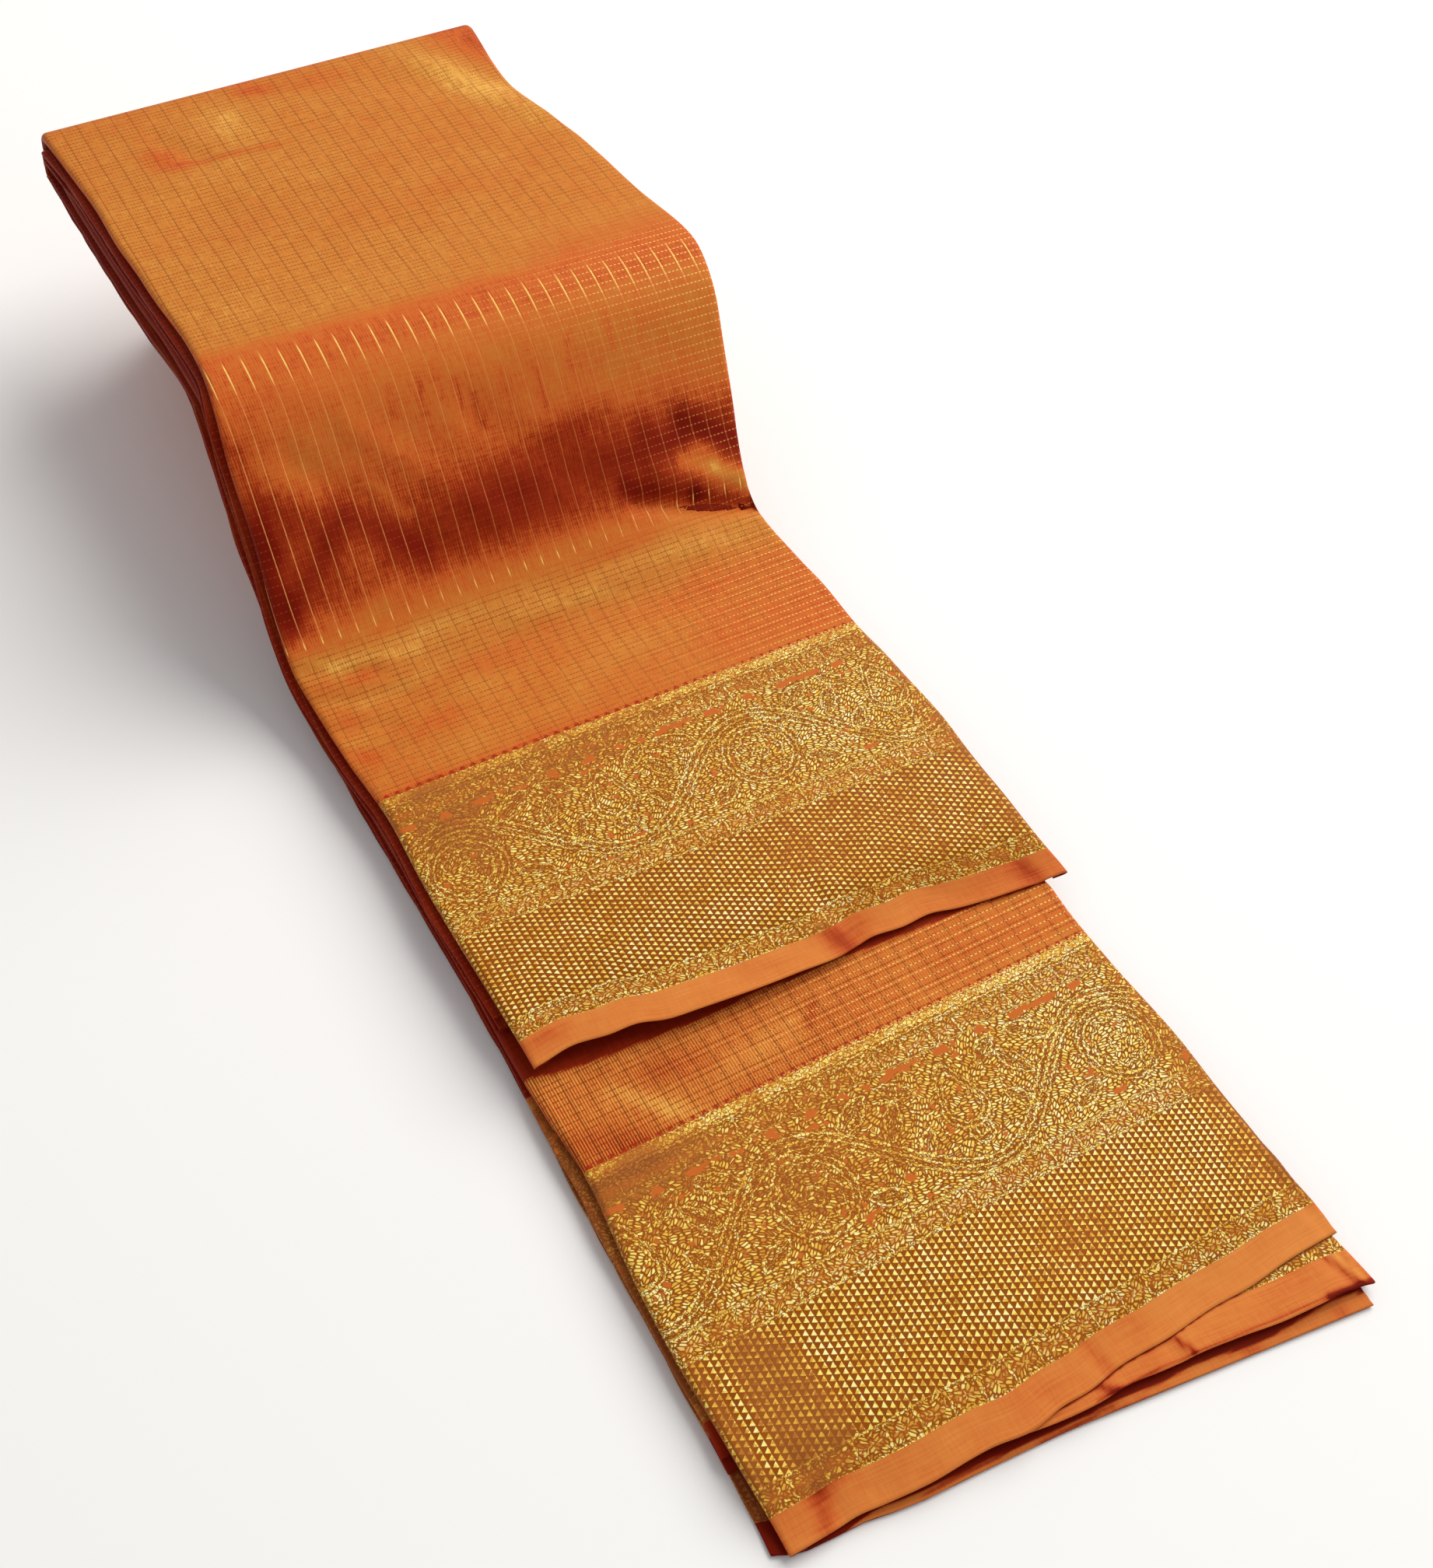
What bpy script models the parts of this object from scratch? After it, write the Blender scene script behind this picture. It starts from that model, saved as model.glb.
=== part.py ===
"""A silk sari, folded into a long strip and folded once more across, with its far half raised.

The strip runs along Y. "Along" is the distance from the lower sheet's near edge, measured on the top
line of the upper stack, and "depth" is the distance down from that line, square to it.
"""

import collections
import math

import bmesh
import bpy
import numpy as np

# Cloth, in metres
WALL = 0.0012
GAP = 0.0003
FOLD_DEPTH = 0.0044
CURL_RETURN = 0.004
LIFT_FADE = 0.018
RISE_INSET = 0.013
DENT_GAP = 0.0015

# Depths of the layers below the top line of the upper stack
UPPER_INNER_TOP = FOLD_DEPTH + GAP
UPPER_INNER_DEPTH = 0.0054
LOWER_SHEET_TOP = UPPER_INNER_TOP + UPPER_INNER_DEPTH + GAP
LOWER_FOLD_DEPTH = 0.0040
LOWER_INNER_TOP = LOWER_SHEET_TOP + LOWER_FOLD_DEPTH + GAP
LOWER_INNER_DEPTH = 0.0045
BOTTOM_SHEET_TOP = LOWER_INNER_TOP + LOWER_INNER_DEPTH + GAP
STACK_DEPTH = BOTTOM_SHEET_TOP + WALL

# The step in the top line: a foot arc, a straight ramp and a head arc
FOOT_START = 0.334
FOOT_RADIUS = 0.066
HEAD_RADIUS = 0.042
RAMP_ANGLE = math.radians(52.0)
RISE = 0.0877

# Ends
FAR_TURN = 0.6320
FAR_SKEW = 0.0130
UPPER_NEAR = 0.1640
UPPER_INNER_NEAR = 0.1860
LOWER_INNER_NEAR = 0.0300
SECOND_FAR = 0.0270
TURN_END = math.radians(160.0)

# The second sheet, folded back under itself at its right edge
SECOND_LEFT = -0.0660
SECOND_RIGHT = 0.1110
SECOND_DEPTH = 0.0031
SECOND_BACK = 0.1680
SECOND_TOP = BOTTOM_SHEET_TOP - GAP - SECOND_DEPTH

Edge = collections.namedtuple("Edge", "along left right")
UPPER_EDGES = (
    Edge(0.150, -0.1030, 0.1090),
    Edge(0.172, -0.1030, 0.1092),
    Edge(0.214, -0.1040, 0.1100),
    Edge(0.250, -0.1050, 0.1105),
    Edge(0.295, -0.1045, 0.1072),
    Edge(0.322, -0.1070, 0.1066),
    Edge(0.348, -0.1088, 0.1042),
    Edge(0.369, -0.1108, 0.0990),
    Edge(0.394, -0.1085, 0.1018),
    Edge(0.428, -0.1068, 0.1072),
    Edge(0.455, -0.1032, 0.1098),
    Edge(0.490, -0.1040, 0.1050),
    Edge(0.535, -0.1062, 0.1000),
    Edge(0.583, -0.1072, 0.0905),
    Edge(0.632, -0.1108, 0.0950),
)
INNER_EDGES = (
    Edge(0.000, -0.1085, 0.1068),
    Edge(0.040, -0.1078, 0.1070),
    Edge(0.098, -0.1077, 0.1066),
    Edge(0.160, -0.1066, 0.1060),
    Edge(0.192, -0.1058, 0.1075),
    Edge(0.230, -0.1062, 0.1085),
    Edge(0.300, -0.1077, 0.1060),
    Edge(0.355, -0.1086, 0.1030),
    Edge(0.395, -0.1108, 0.1005),
    Edge(0.432, -0.1101, 0.1055),
    Edge(0.464, -0.1078, 0.1080),
    Edge(0.508, -0.1101, 0.1020),
    Edge(0.563, -0.1119, 0.0925),
    Edge(0.632, -0.1127, 0.0935),
)
LOWER_EDGES = (
    Edge(-0.004, -0.1062, 0.1090),
    Edge(0.018, -0.1055, 0.1052),
    Edge(0.043, -0.1062, 0.1080),
    Edge(0.089, -0.1066, 0.1080),
    Edge(0.133, -0.1034, 0.1055),
    Edge(0.160, -0.1052, 0.1062),
    Edge(0.240, -0.1058, 0.1085),
    Edge(0.300, -0.1070, 0.1060),
    Edge(0.369, -0.1098, 0.0990),
    Edge(0.455, -0.1070, 0.1075),
    Edge(0.563, -0.1105, 0.0925),
    Edge(0.632, -0.1110, 0.0935),
)

# Near edges: how far each sheet reaches and how much it lifts, across the strip from left to right
Hem = collections.namedtuple("Hem", "across reach lift")
UPPER_HEM = (
    Hem(-0.110, -0.0085, -0.0012),
    Hem(-0.092, -0.0100, -0.0006),
    Hem(-0.060, -0.0045, 0.0014),
    Hem(-0.030, 0.0000, 0.0004),
    Hem(0.000, 0.0006, -0.0012),
    Hem(0.030, 0.0000, 0.0010),
    Hem(0.060, 0.0012, 0.0012),
    Hem(0.085, 0.0036, -0.0010),
    Hem(0.112, 0.0092, 0.0008),
)
LOWER_HEM = (
    Hem(-0.110, 0.0006, -0.0012),
    Hem(-0.080, -0.0014, 0.0006),
    Hem(-0.034, 0.0029, 0.0002),
    Hem(-0.019, 0.0035, 0.0010),
    Hem(0.016, 0.0013, 0.0004),
    Hem(0.036, 0.0020, 0.0014),
    Hem(0.080, 0.0012, 0.0004),
    Hem(0.112, 0.0006, 0.0010),
)
SECOND_HEM = (
    Hem(-0.070, -0.0040, 0.0000),
    Hem(-0.019, 0.0046, 0.0004),
    Hem(0.005, 0.0086, 0.0014),
    Hem(0.027, 0.0090, 0.0004),
    Hem(0.050, 0.0124, 0.0016),
    Hem(0.079, 0.0159, 0.0006),
    Hem(0.112, 0.0202, 0.0010),
)
BOTTOM_HEM = (
    Hem(-0.110, -0.0010, 0.0000),
    Hem(-0.061, 0.0023, 0.0000),
    Hem(-0.005, 0.0090, 0.0000),
    Hem(0.011, 0.0111, 0.0000),
    Hem(0.064, 0.0183, 0.0000),
    Hem(0.108, 0.0243, 0.0000),
)

# Dents in the upper sheet: centre, half sizes, turn of the long side from X, and depth
Dent = collections.namedtuple("Dent", "across along half_width half_length turn deep")
DENTS = (
    Dent(0.088, 0.374, 0.034, 0.0060, -4.0, 0.0034),
    Dent(-0.050, 0.372, 0.045, 0.0100, 6.0, 0.0016),
    Dent(-0.090, 0.330, 0.030, 0.0110, 24.0, 0.0012),
    Dent(0.020, 0.345, 0.050, 0.0110, -5.0, 0.0010),
    Dent(-0.072, 0.545, 0.030, 0.0160, 8.0, 0.0012),
    Dent(0.060, 0.600, 0.045, 0.0120, -20.0, 0.0014),
    Dent(-0.010, 0.495, 0.060, 0.0150, 5.0, 0.0010),
)

# The layers under the raised half, from the surface up: each fold's depth and its edges
Fold = collections.namedtuple("Fold", "deep left right far")
UNDER_FOLDS = (
    Fold(0.0098, -0.0780, 0.0900, 0.628),
    Fold(0.0086, -0.0810, 0.0915, 0.631),
    Fold(0.0092, -0.0770, 0.0885, 0.627),
    Fold(0.0104, -0.0800, 0.0905, 0.630),
    Fold(0.0084, -0.0765, 0.0880, 0.626),
    Fold(0.0096, -0.0795, 0.0900, 0.629),
    Fold(0.0090, -0.0775, 0.0890, 0.625),
    Fold(0.0106, -0.0790, 0.0895, 0.628),
)
UNDER_NEAR = 0.372
UNDER_CORNER = 0.016
GROOVE = 0.0020

SILK = (0.62, 0.22, 0.055)
SHADED_SILK = (0.30, 0.055, 0.025)


def column(rows, name):
    """One named column of a table, as an array."""
    return np.array([getattr(row, name) for row in rows])


def table_value(rows, at_name, name, at):
    """A column of a table read at any place by a smooth curve through its rows."""
    places = column(rows, at_name)
    values = column(rows, name)
    slopes = np.gradient(values, places)
    at = np.clip(at, places[0], places[-1])
    low = np.clip(np.searchsorted(places, at) - 1, 0, len(places) - 2)
    step = places[low + 1] - places[low]
    t = (at - places[low]) / step
    start = values[low] * (1 + 2 * t) * (1 - t) ** 2 + slopes[low] * step * t * (1 - t) ** 2
    end = values[low + 1] * (3 - 2 * t) * t**2 - slopes[low + 1] * step * t**2 * (1 - t)
    return start + end


def smooth_step(low, high, at):
    t = np.clip((at - low) / (high - low), 0, 1)
    return t * t * (3 - 2 * t)


# Lengths of the top line at the end of its foot, ramp and head
FOOT_END = FOOT_START + FOOT_RADIUS * RAMP_ANGLE
RAMP_RISE = RISE - (FOOT_RADIUS + HEAD_RADIUS) * (1 - math.cos(RAMP_ANGLE))
RAMP_END = FOOT_END + RAMP_RISE / math.sin(RAMP_ANGLE)
HEAD_END = RAMP_END + HEAD_RADIUS * RAMP_ANGLE
HEAD_END_Y = FOOT_START + (FOOT_RADIUS + HEAD_RADIUS) * math.sin(RAMP_ANGLE) + RAMP_RISE / math.tan(RAMP_ANGLE)
TURN_LENGTH = HEAD_END + FAR_TURN - HEAD_END_Y


def top_line(length):
    """(y, z, tilt) of the upper stack's top line at this length from the near end."""
    foot = np.clip((length - FOOT_START) / FOOT_RADIUS, 0, RAMP_ANGLE)
    ramp = np.clip(length - FOOT_END, 0, RAMP_END - FOOT_END)
    head = np.clip((length - RAMP_END) / HEAD_RADIUS, 0, RAMP_ANGLE)
    y = np.minimum(length, FOOT_START) + FOOT_RADIUS * np.sin(foot) + ramp * math.cos(RAMP_ANGLE)
    y = y + HEAD_RADIUS * (math.sin(RAMP_ANGLE) - np.sin(RAMP_ANGLE - head))
    y = y + np.maximum(length - HEAD_END, 0)
    z = STACK_DEPTH + FOOT_RADIUS * (1 - np.cos(foot)) + ramp * math.sin(RAMP_ANGLE)
    z = z + HEAD_RADIUS * (np.cos(RAMP_ANGLE - head) - math.cos(RAMP_ANGLE))
    return y, z, foot - head


def place(x, length, depth):
    """Points at this depth below the top line."""
    y, z, tilt = top_line(length)
    return np.stack([x + 0 * y, y + depth * np.sin(tilt), z - depth * np.cos(tilt)], axis=-1)


def along_of(length):
    return top_line(length)[0]


def dent_depth(x, along):
    """How far the upper sheet sinks below its top line."""
    total = 0 * x
    for dent in DENTS:
        turn = math.radians(dent.turn)
        across = (x - dent.across) * math.cos(turn) + (along - dent.along) * math.sin(turn)
        forward = (along - dent.along) * math.cos(turn) - (x - dent.across) * math.sin(turn)
        total = total + dent.deep * np.exp(-((across / dent.half_width) ** 2) - (forward / dent.half_length) ** 2)
    return total


def fold_section(left, right, depth, flat_points, curl_points=5, left_curl=True, right_curl=True, back=CURL_RETURN):
    """(x, depth) points of a sheet's outside, from the end of its left return over the top to its right one."""
    radius = depth / 2
    angles = np.linspace(0, math.pi, curl_points)
    spots = np.linspace(0, 1, flat_points)
    flat_left = left + radius * left_curl
    flat_right = right - radius * right_curl
    flat = [(flat_left + (flat_right - flat_left) * t, 0.0) for t in spots]
    turn = [(math.sin(a) * radius, radius * (1 - math.cos(a))) for a in angles[1:]]
    points = list(flat)
    if left_curl:
        curl = [(flat_left - dx, down) for dx, down in turn] + [(flat_left + back, depth)]
        points = curl[::-1] + points
    if right_curl:
        points = points + [(flat_right + dx, down) for dx, down in turn] + [(flat_right - back, depth)]
    return np.array(points)


def grid_object(name, points, color, wall=WALL):
    """A cloth wall on a grid of points, thickened inwards by a Solidify modifier."""
    rows, columns = points.shape[:2]
    mesh = bpy.data.meshes.new(name)
    work = bmesh.new()
    grid = bmesh.ops.create_grid(work, x_segments=columns - 1, y_segments=rows - 1, size=0.5)
    for vert, point in zip(grid["verts"], points.reshape(-1, 3)):
        vert.co = point
    work.normal_update()
    work.to_mesh(mesh)
    work.free()
    obj = finish_object(name, mesh, color)
    solidify = obj.modifiers.new("wall", "SOLIDIFY")
    solidify.thickness = wall
    solidify.offset = -1
    solidify.use_even_offset = False
    solidify.use_quality_normals = True
    return obj


def loft_object(name, rings, color):
    """A closed solid through rings with the same number of points, with flat ends."""
    rows, around = rings.shape[:2]
    faces = [
        (r * around + c, r * around + (c + 1) % around, (r + 1) * around + (c + 1) % around, (r + 1) * around + c)
        for r in range(rows - 1)
        for c in range(around)
    ]
    faces.append(tuple(range(around))[::-1])
    faces.append(tuple((rows - 1) * around + c for c in range(around)))
    mesh = bpy.data.meshes.new(name)
    mesh.from_pydata(rings.reshape(-1, 3).tolist(), [], faces)
    work = bmesh.new()
    work.from_mesh(mesh)
    bmesh.ops.recalc_face_normals(work, faces=work.faces)
    bmesh.ops.triangulate(work, faces=[face for face in work.faces if len(face.verts) > 4])
    work.to_mesh(mesh)
    work.free()
    return finish_object(name, mesh, color)


def finish_object(name, mesh, color):
    """Puts a mesh in the sari's collection with its own silk material."""
    material = bpy.data.materials.new(name)
    material.use_nodes = True
    shader = material.node_tree.nodes["Principled BSDF"]
    shader.inputs["Base Color"].default_value = (*color, 1)
    shader.inputs["Roughness"].default_value = 0.45
    shader.inputs["Metallic"].default_value = 0.0
    mesh.materials.append(material)
    obj = bpy.data.objects.new(name, mesh)
    bpy.data.collections["folded_sari"].objects.link(obj)
    obj.parent = bpy.data.objects["sari_placing"]
    return obj


def sheet_points(lengths, edges, section, top_depth, hem, hem_fade, far_shift=0.0):
    """A sheet's grid: each row is a cross section, and the rows near the hem follow its waves."""
    rows = []
    for length in lengths:
        along = along_of(length)
        left = table_value(edges, "along", "left", along)
        right = table_value(edges, "along", "right", along)
        points = section(left, right)
        x = points[:, 0]
        near = 1 - smooth_step(lengths[0], lengths[0] + hem_fade, length)
        far = smooth_step(HEAD_END, TURN_LENGTH, length)
        shifted = length - near * table_value(hem, "across", "reach", x) + far * far_shift * x
        hem_share = 1 - smooth_step(lengths[0], lengths[0] + LIFT_FADE, length)
        lift = hem_share * table_value(hem, "across", "lift", x)
        rows.append(place(x, shifted, top_depth + points[:, 1] - lift))
    return np.array(rows)


def steps(*stops):
    """Places from stop to stop: (place, number of steps to the next), ending with a bare place."""
    places = []
    for (start, count), (end, _) in zip(stops[:-1], stops[1:]):
        places.extend(start + (end - start) * i / count for i in range(count))
    return places + [stops[-1][0]]


FAR_SHIFT = FAR_SKEW / 0.2
# Every layer has its cross sections at these places, so that the layers stay parallel on the bends
SHARED_STEPS = (
    (FOOT_START - 0.016, 2), (FOOT_START + 0.012, 6), (FOOT_END, 4), (RAMP_END, 5), (HEAD_END, 5),
    (TURN_LENGTH - 0.020, 1),
)


def upper_sheet():
    """The upper stack's top sheet, with its hem, the step, and its turn round the far fold."""
    lengths = steps(
        (UPPER_NEAR, 2), (UPPER_NEAR + 0.012, 2), (UPPER_NEAR + 0.04, 4), *SHARED_STEPS, (TURN_LENGTH, 0)
    )

    def section(left, right):
        return fold_section(left, right, FOLD_DEPTH, 9)

    points = sheet_points(lengths, UPPER_EDGES, section, 0.0, UPPER_HEM, 0.05, FAR_SHIFT)
    last = section(UPPER_EDGES[-1].left, UPPER_EDGES[-1].right)
    for r, length in enumerate(lengths):
        points[r, :, 2] -= dent_depth(points[r, :, 0], along_of(length)) * (1 - np.clip(section_depths(last), 0, 1))
    centre = STACK_DEPTH / 2
    _, height, _ = top_line(TURN_LENGTH)
    turn = []
    for angle in np.linspace(0, TURN_END, 8)[1:]:
        radius = centre - last[:, 1]
        y = FAR_TURN + FAR_SHIFT * last[:, 0] + radius * math.sin(angle)
        z = height - centre + radius * math.cos(angle)
        turn.append(np.stack([last[:, 0], y, z], axis=-1))
    return grid_object("upper_sheet", np.concatenate([points, np.array(turn)]), SILK)


def section_depths(points):
    """Each section point's share of the fold's depth, 0 on top and 1 on the return."""
    return points[:, 1] / FOLD_DEPTH


def lower_sheet():
    """The lower stack's top sheet, from the near hem to the inside of the far fold."""
    lengths = steps((0.0, 2), (0.012, 2), (0.040, 5), *SHARED_STEPS[:-1], (TURN_LENGTH - 0.020, 0))

    def section(left, right):
        return fold_section(left, right, LOWER_FOLD_DEPTH, 7)

    points = sheet_points(lengths, LOWER_EDGES, section, LOWER_SHEET_TOP, LOWER_HEM, 0.035, FAR_SHIFT)
    return grid_object("lower_sheet", points, SILK)


def second_sheet():
    """The folded sheet under the lower sheet, whose right corner sticks out at the near end."""
    lengths = steps((0.0, 2), (0.010, 2), (SECOND_FAR, 0))

    def section(left, right):
        return fold_section(SECOND_LEFT, SECOND_RIGHT, SECOND_DEPTH, 9, left_curl=False, back=SECOND_BACK)

    points = sheet_points(lengths, LOWER_EDGES, section, SECOND_TOP, SECOND_HEM, 0.022)
    return grid_object("second_sheet", points, SILK, wall=0.0010)


def bottom_sheet():
    """The sheet that lies on the surface, up the underside of the step to the far fold."""
    lengths = steps((0.0, 2), (0.02, 3), (0.10, 4), *SHARED_STEPS, (TURN_LENGTH + 0.0024, 0))

    def section(left, right):
        return np.stack([np.linspace(left, right, 11), np.zeros(11)], axis=-1)

    points = sheet_points(lengths, INNER_EDGES, section, BOTTOM_SHEET_TOP, BOTTOM_HEM, 0.03, FAR_SHIFT)
    return grid_object("bottom_sheet", points, SILK)


def ribbed_ring(left, right, half, outer_rise, inner_rise):
    """(x, offset) ring of the hidden layers: two ribs on each side, and a rise inside each sheet's folds."""
    rib = half / 2
    side = []
    for centre in (rib, -rib):
        for share in (0.86, 0.45, -0.45, -0.86):
            side.append((rib * 0.9 * math.sqrt(1 - share**2) - rib * 0.9, centre + share * rib))
    right_side = [(right + dx, offset) for dx, offset in side]
    left_side = [(left - dx, offset) for dx, offset in side][::-1]
    outer = raised_side(left, right, half, outer_rise, 9)
    inner = [(x, -offset) for x, offset in raised_side(left, right, half, inner_rise, 3)]
    return np.array(outer + right_side + inner[::-1] + left_side)


def raised_side(left, right, half, rise, points):
    """One broad side of the ring, from left to right, raised between the sheet's folds."""
    raised = [(x, half + rise) for x in np.linspace(left + RISE_INSET, right - RISE_INSET, points)]
    low = [(left + 0.002, half), (left + RISE_INSET - 0.0006, half)]
    return low + raised + [(right - RISE_INSET + 0.0006, half), (right - 0.002, half)]


def hidden_layers():
    """The layers inside both stacks: out along the upper stack, round the far fold and back along the lower one."""
    upper_mid = UPPER_INNER_TOP + UPPER_INNER_DEPTH / 2
    lower_mid = LOWER_INNER_TOP + LOWER_INNER_DEPTH / 2
    centre = (upper_mid + lower_mid) / 2
    upper_rise = UPPER_INNER_TOP - WALL - DENT_GAP
    lower_rise = LOWER_INNER_TOP - LOWER_SHEET_TOP - WALL - GAP
    turn_at = TURN_LENGTH - 0.005
    upper = steps((UPPER_INNER_NEAR, 4), *SHARED_STEPS, (turn_at, 0))
    lower = steps((LOWER_INNER_NEAR, 3), (0.16, 3), *SHARED_STEPS, (turn_at, 0))
    rings = []
    for length in upper:
        near_turn = smooth_step(turn_at - 0.03, turn_at, length)
        ring = ribbed_ring(*edges_at(UPPER_EDGES, length, -0.0024), UPPER_INNER_DEPTH / 2, upper_rise * (1 - near_turn), 0)
        depth = upper_mid - ring[:, 1]
        raised = np.clip((ring[:, 1] - UPPER_INNER_DEPTH / 2) / upper_rise, 0, 1)
        depth = depth + dent_depth(ring[:, 0], along_of(length)) * np.cos(top_line(length)[2]) * (raised > 0.5)
        rings.append(place(ring[:, 0], length + shift_at(length, ring[:, 0]), depth))
    _, height, _ = top_line(turn_at)
    for angle in np.linspace(0, math.pi, 8)[1:-1]:
        share = angle / math.pi
        half = (UPPER_INNER_DEPTH * (1 - share) + LOWER_INNER_DEPTH * share) / 2
        ring = ribbed_ring(*edges_at(UPPER_EDGES, turn_at, -0.0024 - 0.002 * share), half, 0, 0)
        radius = lower_mid - centre + ring[:, 1]
        y = along_of(turn_at) + shift_at(turn_at, ring[:, 0]) + radius * math.sin(angle)
        rings.append(np.stack([ring[:, 0], y, height - centre + radius * math.cos(angle)], axis=-1))
    for length in lower[::-1]:
        near_turn = smooth_step(turn_at - 0.03, turn_at - 0.008, length)
        ring = ribbed_ring(*edges_at(INNER_EDGES, length, 0), LOWER_INNER_DEPTH / 2, 0, lower_rise * (1 - near_turn))
        depth = lower_mid + ring[:, 1]
        rings.append(place(ring[:, 0], length + shift_at(length, ring[:, 0]), depth))
    return loft_object("hidden_layers", np.array(rings), SHADED_SILK)


def edges_at(edges, length, wider):
    along = along_of(length)
    left = table_value(edges, "along", "left", along) + wider
    right = table_value(edges, "along", "right", along) - 0.0008
    return left, right


def shift_at(length, x):
    return smooth_step(HEAD_END, TURN_LENGTH, length) * FAR_SHIFT * x


def under_near(height):
    """Where the raised half's underside is this high: the near side of the layers below it."""
    lengths = np.linspace(FOOT_START, HEAD_END, 400)
    underside = place(0.0, lengths, STACK_DEPTH + 2 * GAP)
    return np.interp(height, underside[:, 2], underside[:, 1])


def rounded_outline(left, right, near, far, corner, points=4):
    """A rounded rectangle, anticlockwise from the near right corner; the near corners are sharper."""
    outline = []
    for x, y, start, radius in (
        (right, near, -0.5, corner * 0.4),
        (right, far, 0.0, corner),
        (left, far, 0.5, corner),
        (left, near, 1.0, corner * 0.4),
    ):
        inward_x = -1 if x == right else 1
        inward_y = 1 if y == near else -1
        for i in range(points):
            angle = math.pi * (start + 0.5 * i / (points - 1))
            cx = x + inward_x * radius
            cy = y + inward_y * radius
            outline.append((cx + radius * math.cos(angle), cy + radius * math.sin(angle)))
    return np.array(outline)


def under_layers():
    """The folded layers that carry the raised half, with a groove between each fold and the next."""
    top = RISE - GAP
    scale = top / sum(fold.deep for fold in UNDER_FOLDS)
    rings = []
    base = 0.0
    for number, fold in enumerate(UNDER_FOLDS):
        deep = fold.deep * scale
        shares = (0.14, 0.5, 0.86)
        if number == 0:
            shares = (0.0, 0.5, 0.86)
        if number == len(UNDER_FOLDS) - 1:
            shares = (0.14, 0.5, 1.0)
        for share in shares:
            height = base + deep * share
            inset = GROOVE * (2 * abs(share - 0.5)) ** 2
            near = max(UNDER_NEAR, under_near(height)) + 0.4 * inset
            outline = rounded_outline(fold.left + inset, fold.right - inset, near, fold.far - inset, UNDER_CORNER)
            rings.append(np.column_stack([outline, np.full(len(outline), height)]))
        base += deep
    return loft_object("under_layers", np.array(rings), SHADED_SILK)


def clear_scene():
    for obj in list(bpy.data.objects):
        bpy.data.objects.remove(obj, do_unlink=True)


def centre_on_origin(objects):
    """Moves the placing empty so that the whole sari's box is centred on the origin."""
    bpy.context.view_layer.update()
    graph = bpy.context.evaluated_depsgraph_get()
    corners = []
    for obj in objects:
        evaluated = obj.evaluated_get(graph)
        mesh = evaluated.to_mesh()
        points = np.empty(len(mesh.vertices) * 3, np.float32)
        mesh.vertices.foreach_get("co", points)
        corners.append(points.reshape(-1, 3))
        evaluated.to_mesh_clear()
    points = np.concatenate(corners)
    low = points.min(axis=0)
    high = points.max(axis=0)
    bpy.data.objects["sari_placing"].location = (-(low[0] + high[0]) / 2, -(low[1] + high[1]) / 2, -low[2])
    print("placing", [round(float(-v), 5) for v in (low + high)[:2] / 2], "size", (high - low).round(4).tolist())


def main():
    clear_scene()
    collection = bpy.data.collections.new("folded_sari")
    bpy.context.scene.collection.children.link(collection)
    placing = bpy.data.objects.new("sari_placing", None)
    collection.objects.link(placing)
    made = [upper_sheet(), lower_sheet(), second_sheet(), bottom_sheet(), hidden_layers(), under_layers()]
    centre_on_origin(made)


main()
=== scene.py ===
"""A silk sari with gold borders, folded into a long strip and folded once more across, on a pale floor.

The strip runs along Y. A place on it is given by its distance across (x), its distance along the top line
of the upper stack, and its depth below that line. Cloth coordinates are in metres as well: u runs across
the strip, and v is the distance from the sheet's own selvedge edge.
"""

import logging
import math
from dataclasses import dataclass
from enum import Enum
from typing import Callable, NamedTuple, NewType, Sequence, Union

import bmesh
import bpy
import numpy as np
from mathutils import Matrix, Vector


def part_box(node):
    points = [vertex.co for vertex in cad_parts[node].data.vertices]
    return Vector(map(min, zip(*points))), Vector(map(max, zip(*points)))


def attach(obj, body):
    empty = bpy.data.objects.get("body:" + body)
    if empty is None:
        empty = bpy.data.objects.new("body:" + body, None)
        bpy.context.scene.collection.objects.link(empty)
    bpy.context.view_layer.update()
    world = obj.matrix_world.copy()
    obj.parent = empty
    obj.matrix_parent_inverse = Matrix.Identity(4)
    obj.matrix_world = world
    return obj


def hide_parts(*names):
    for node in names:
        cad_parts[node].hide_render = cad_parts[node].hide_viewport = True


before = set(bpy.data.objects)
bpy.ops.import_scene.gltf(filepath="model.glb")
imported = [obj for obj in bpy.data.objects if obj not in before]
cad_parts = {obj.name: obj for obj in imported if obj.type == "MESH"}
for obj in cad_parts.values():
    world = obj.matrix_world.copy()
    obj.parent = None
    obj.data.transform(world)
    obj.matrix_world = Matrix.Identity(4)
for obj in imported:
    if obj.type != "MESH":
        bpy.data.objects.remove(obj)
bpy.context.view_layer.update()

LOG = logging.getLogger("sari")

Array = np.ndarray
Colour = tuple[float, float, float]
Length = NewType("Length", float)
MILLIMETRES = 1000.0


class Edge(NamedTuple):
    """The left and right fold of a sheet at one place along the strip."""

    along: Length
    left: Length
    right: Length


class Hem(NamedTuple):
    """How far a sheet's near edge reaches and lifts at one place across it."""

    across: Length
    reach: Length
    lift: Length


class Drop(NamedTuple):
    """How far a sheet's near edge sinks at one place across it."""

    across: Length
    deep: Length


class Cover(NamedTuple):
    """Where a sheet goes under the one above it, at one place across it; from there on it is painted with
    shade.
    """

    across: Length
    along: Length


class Oval(NamedTuple):
    """A soft oval, turned by some degrees: a hollow so many millimetres deep, or so much painted highlight,
    painted shade where negative.
    """

    across: Length
    along: Length
    half_width: Length
    half_length: Length
    turn: float
    amount: float


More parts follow.
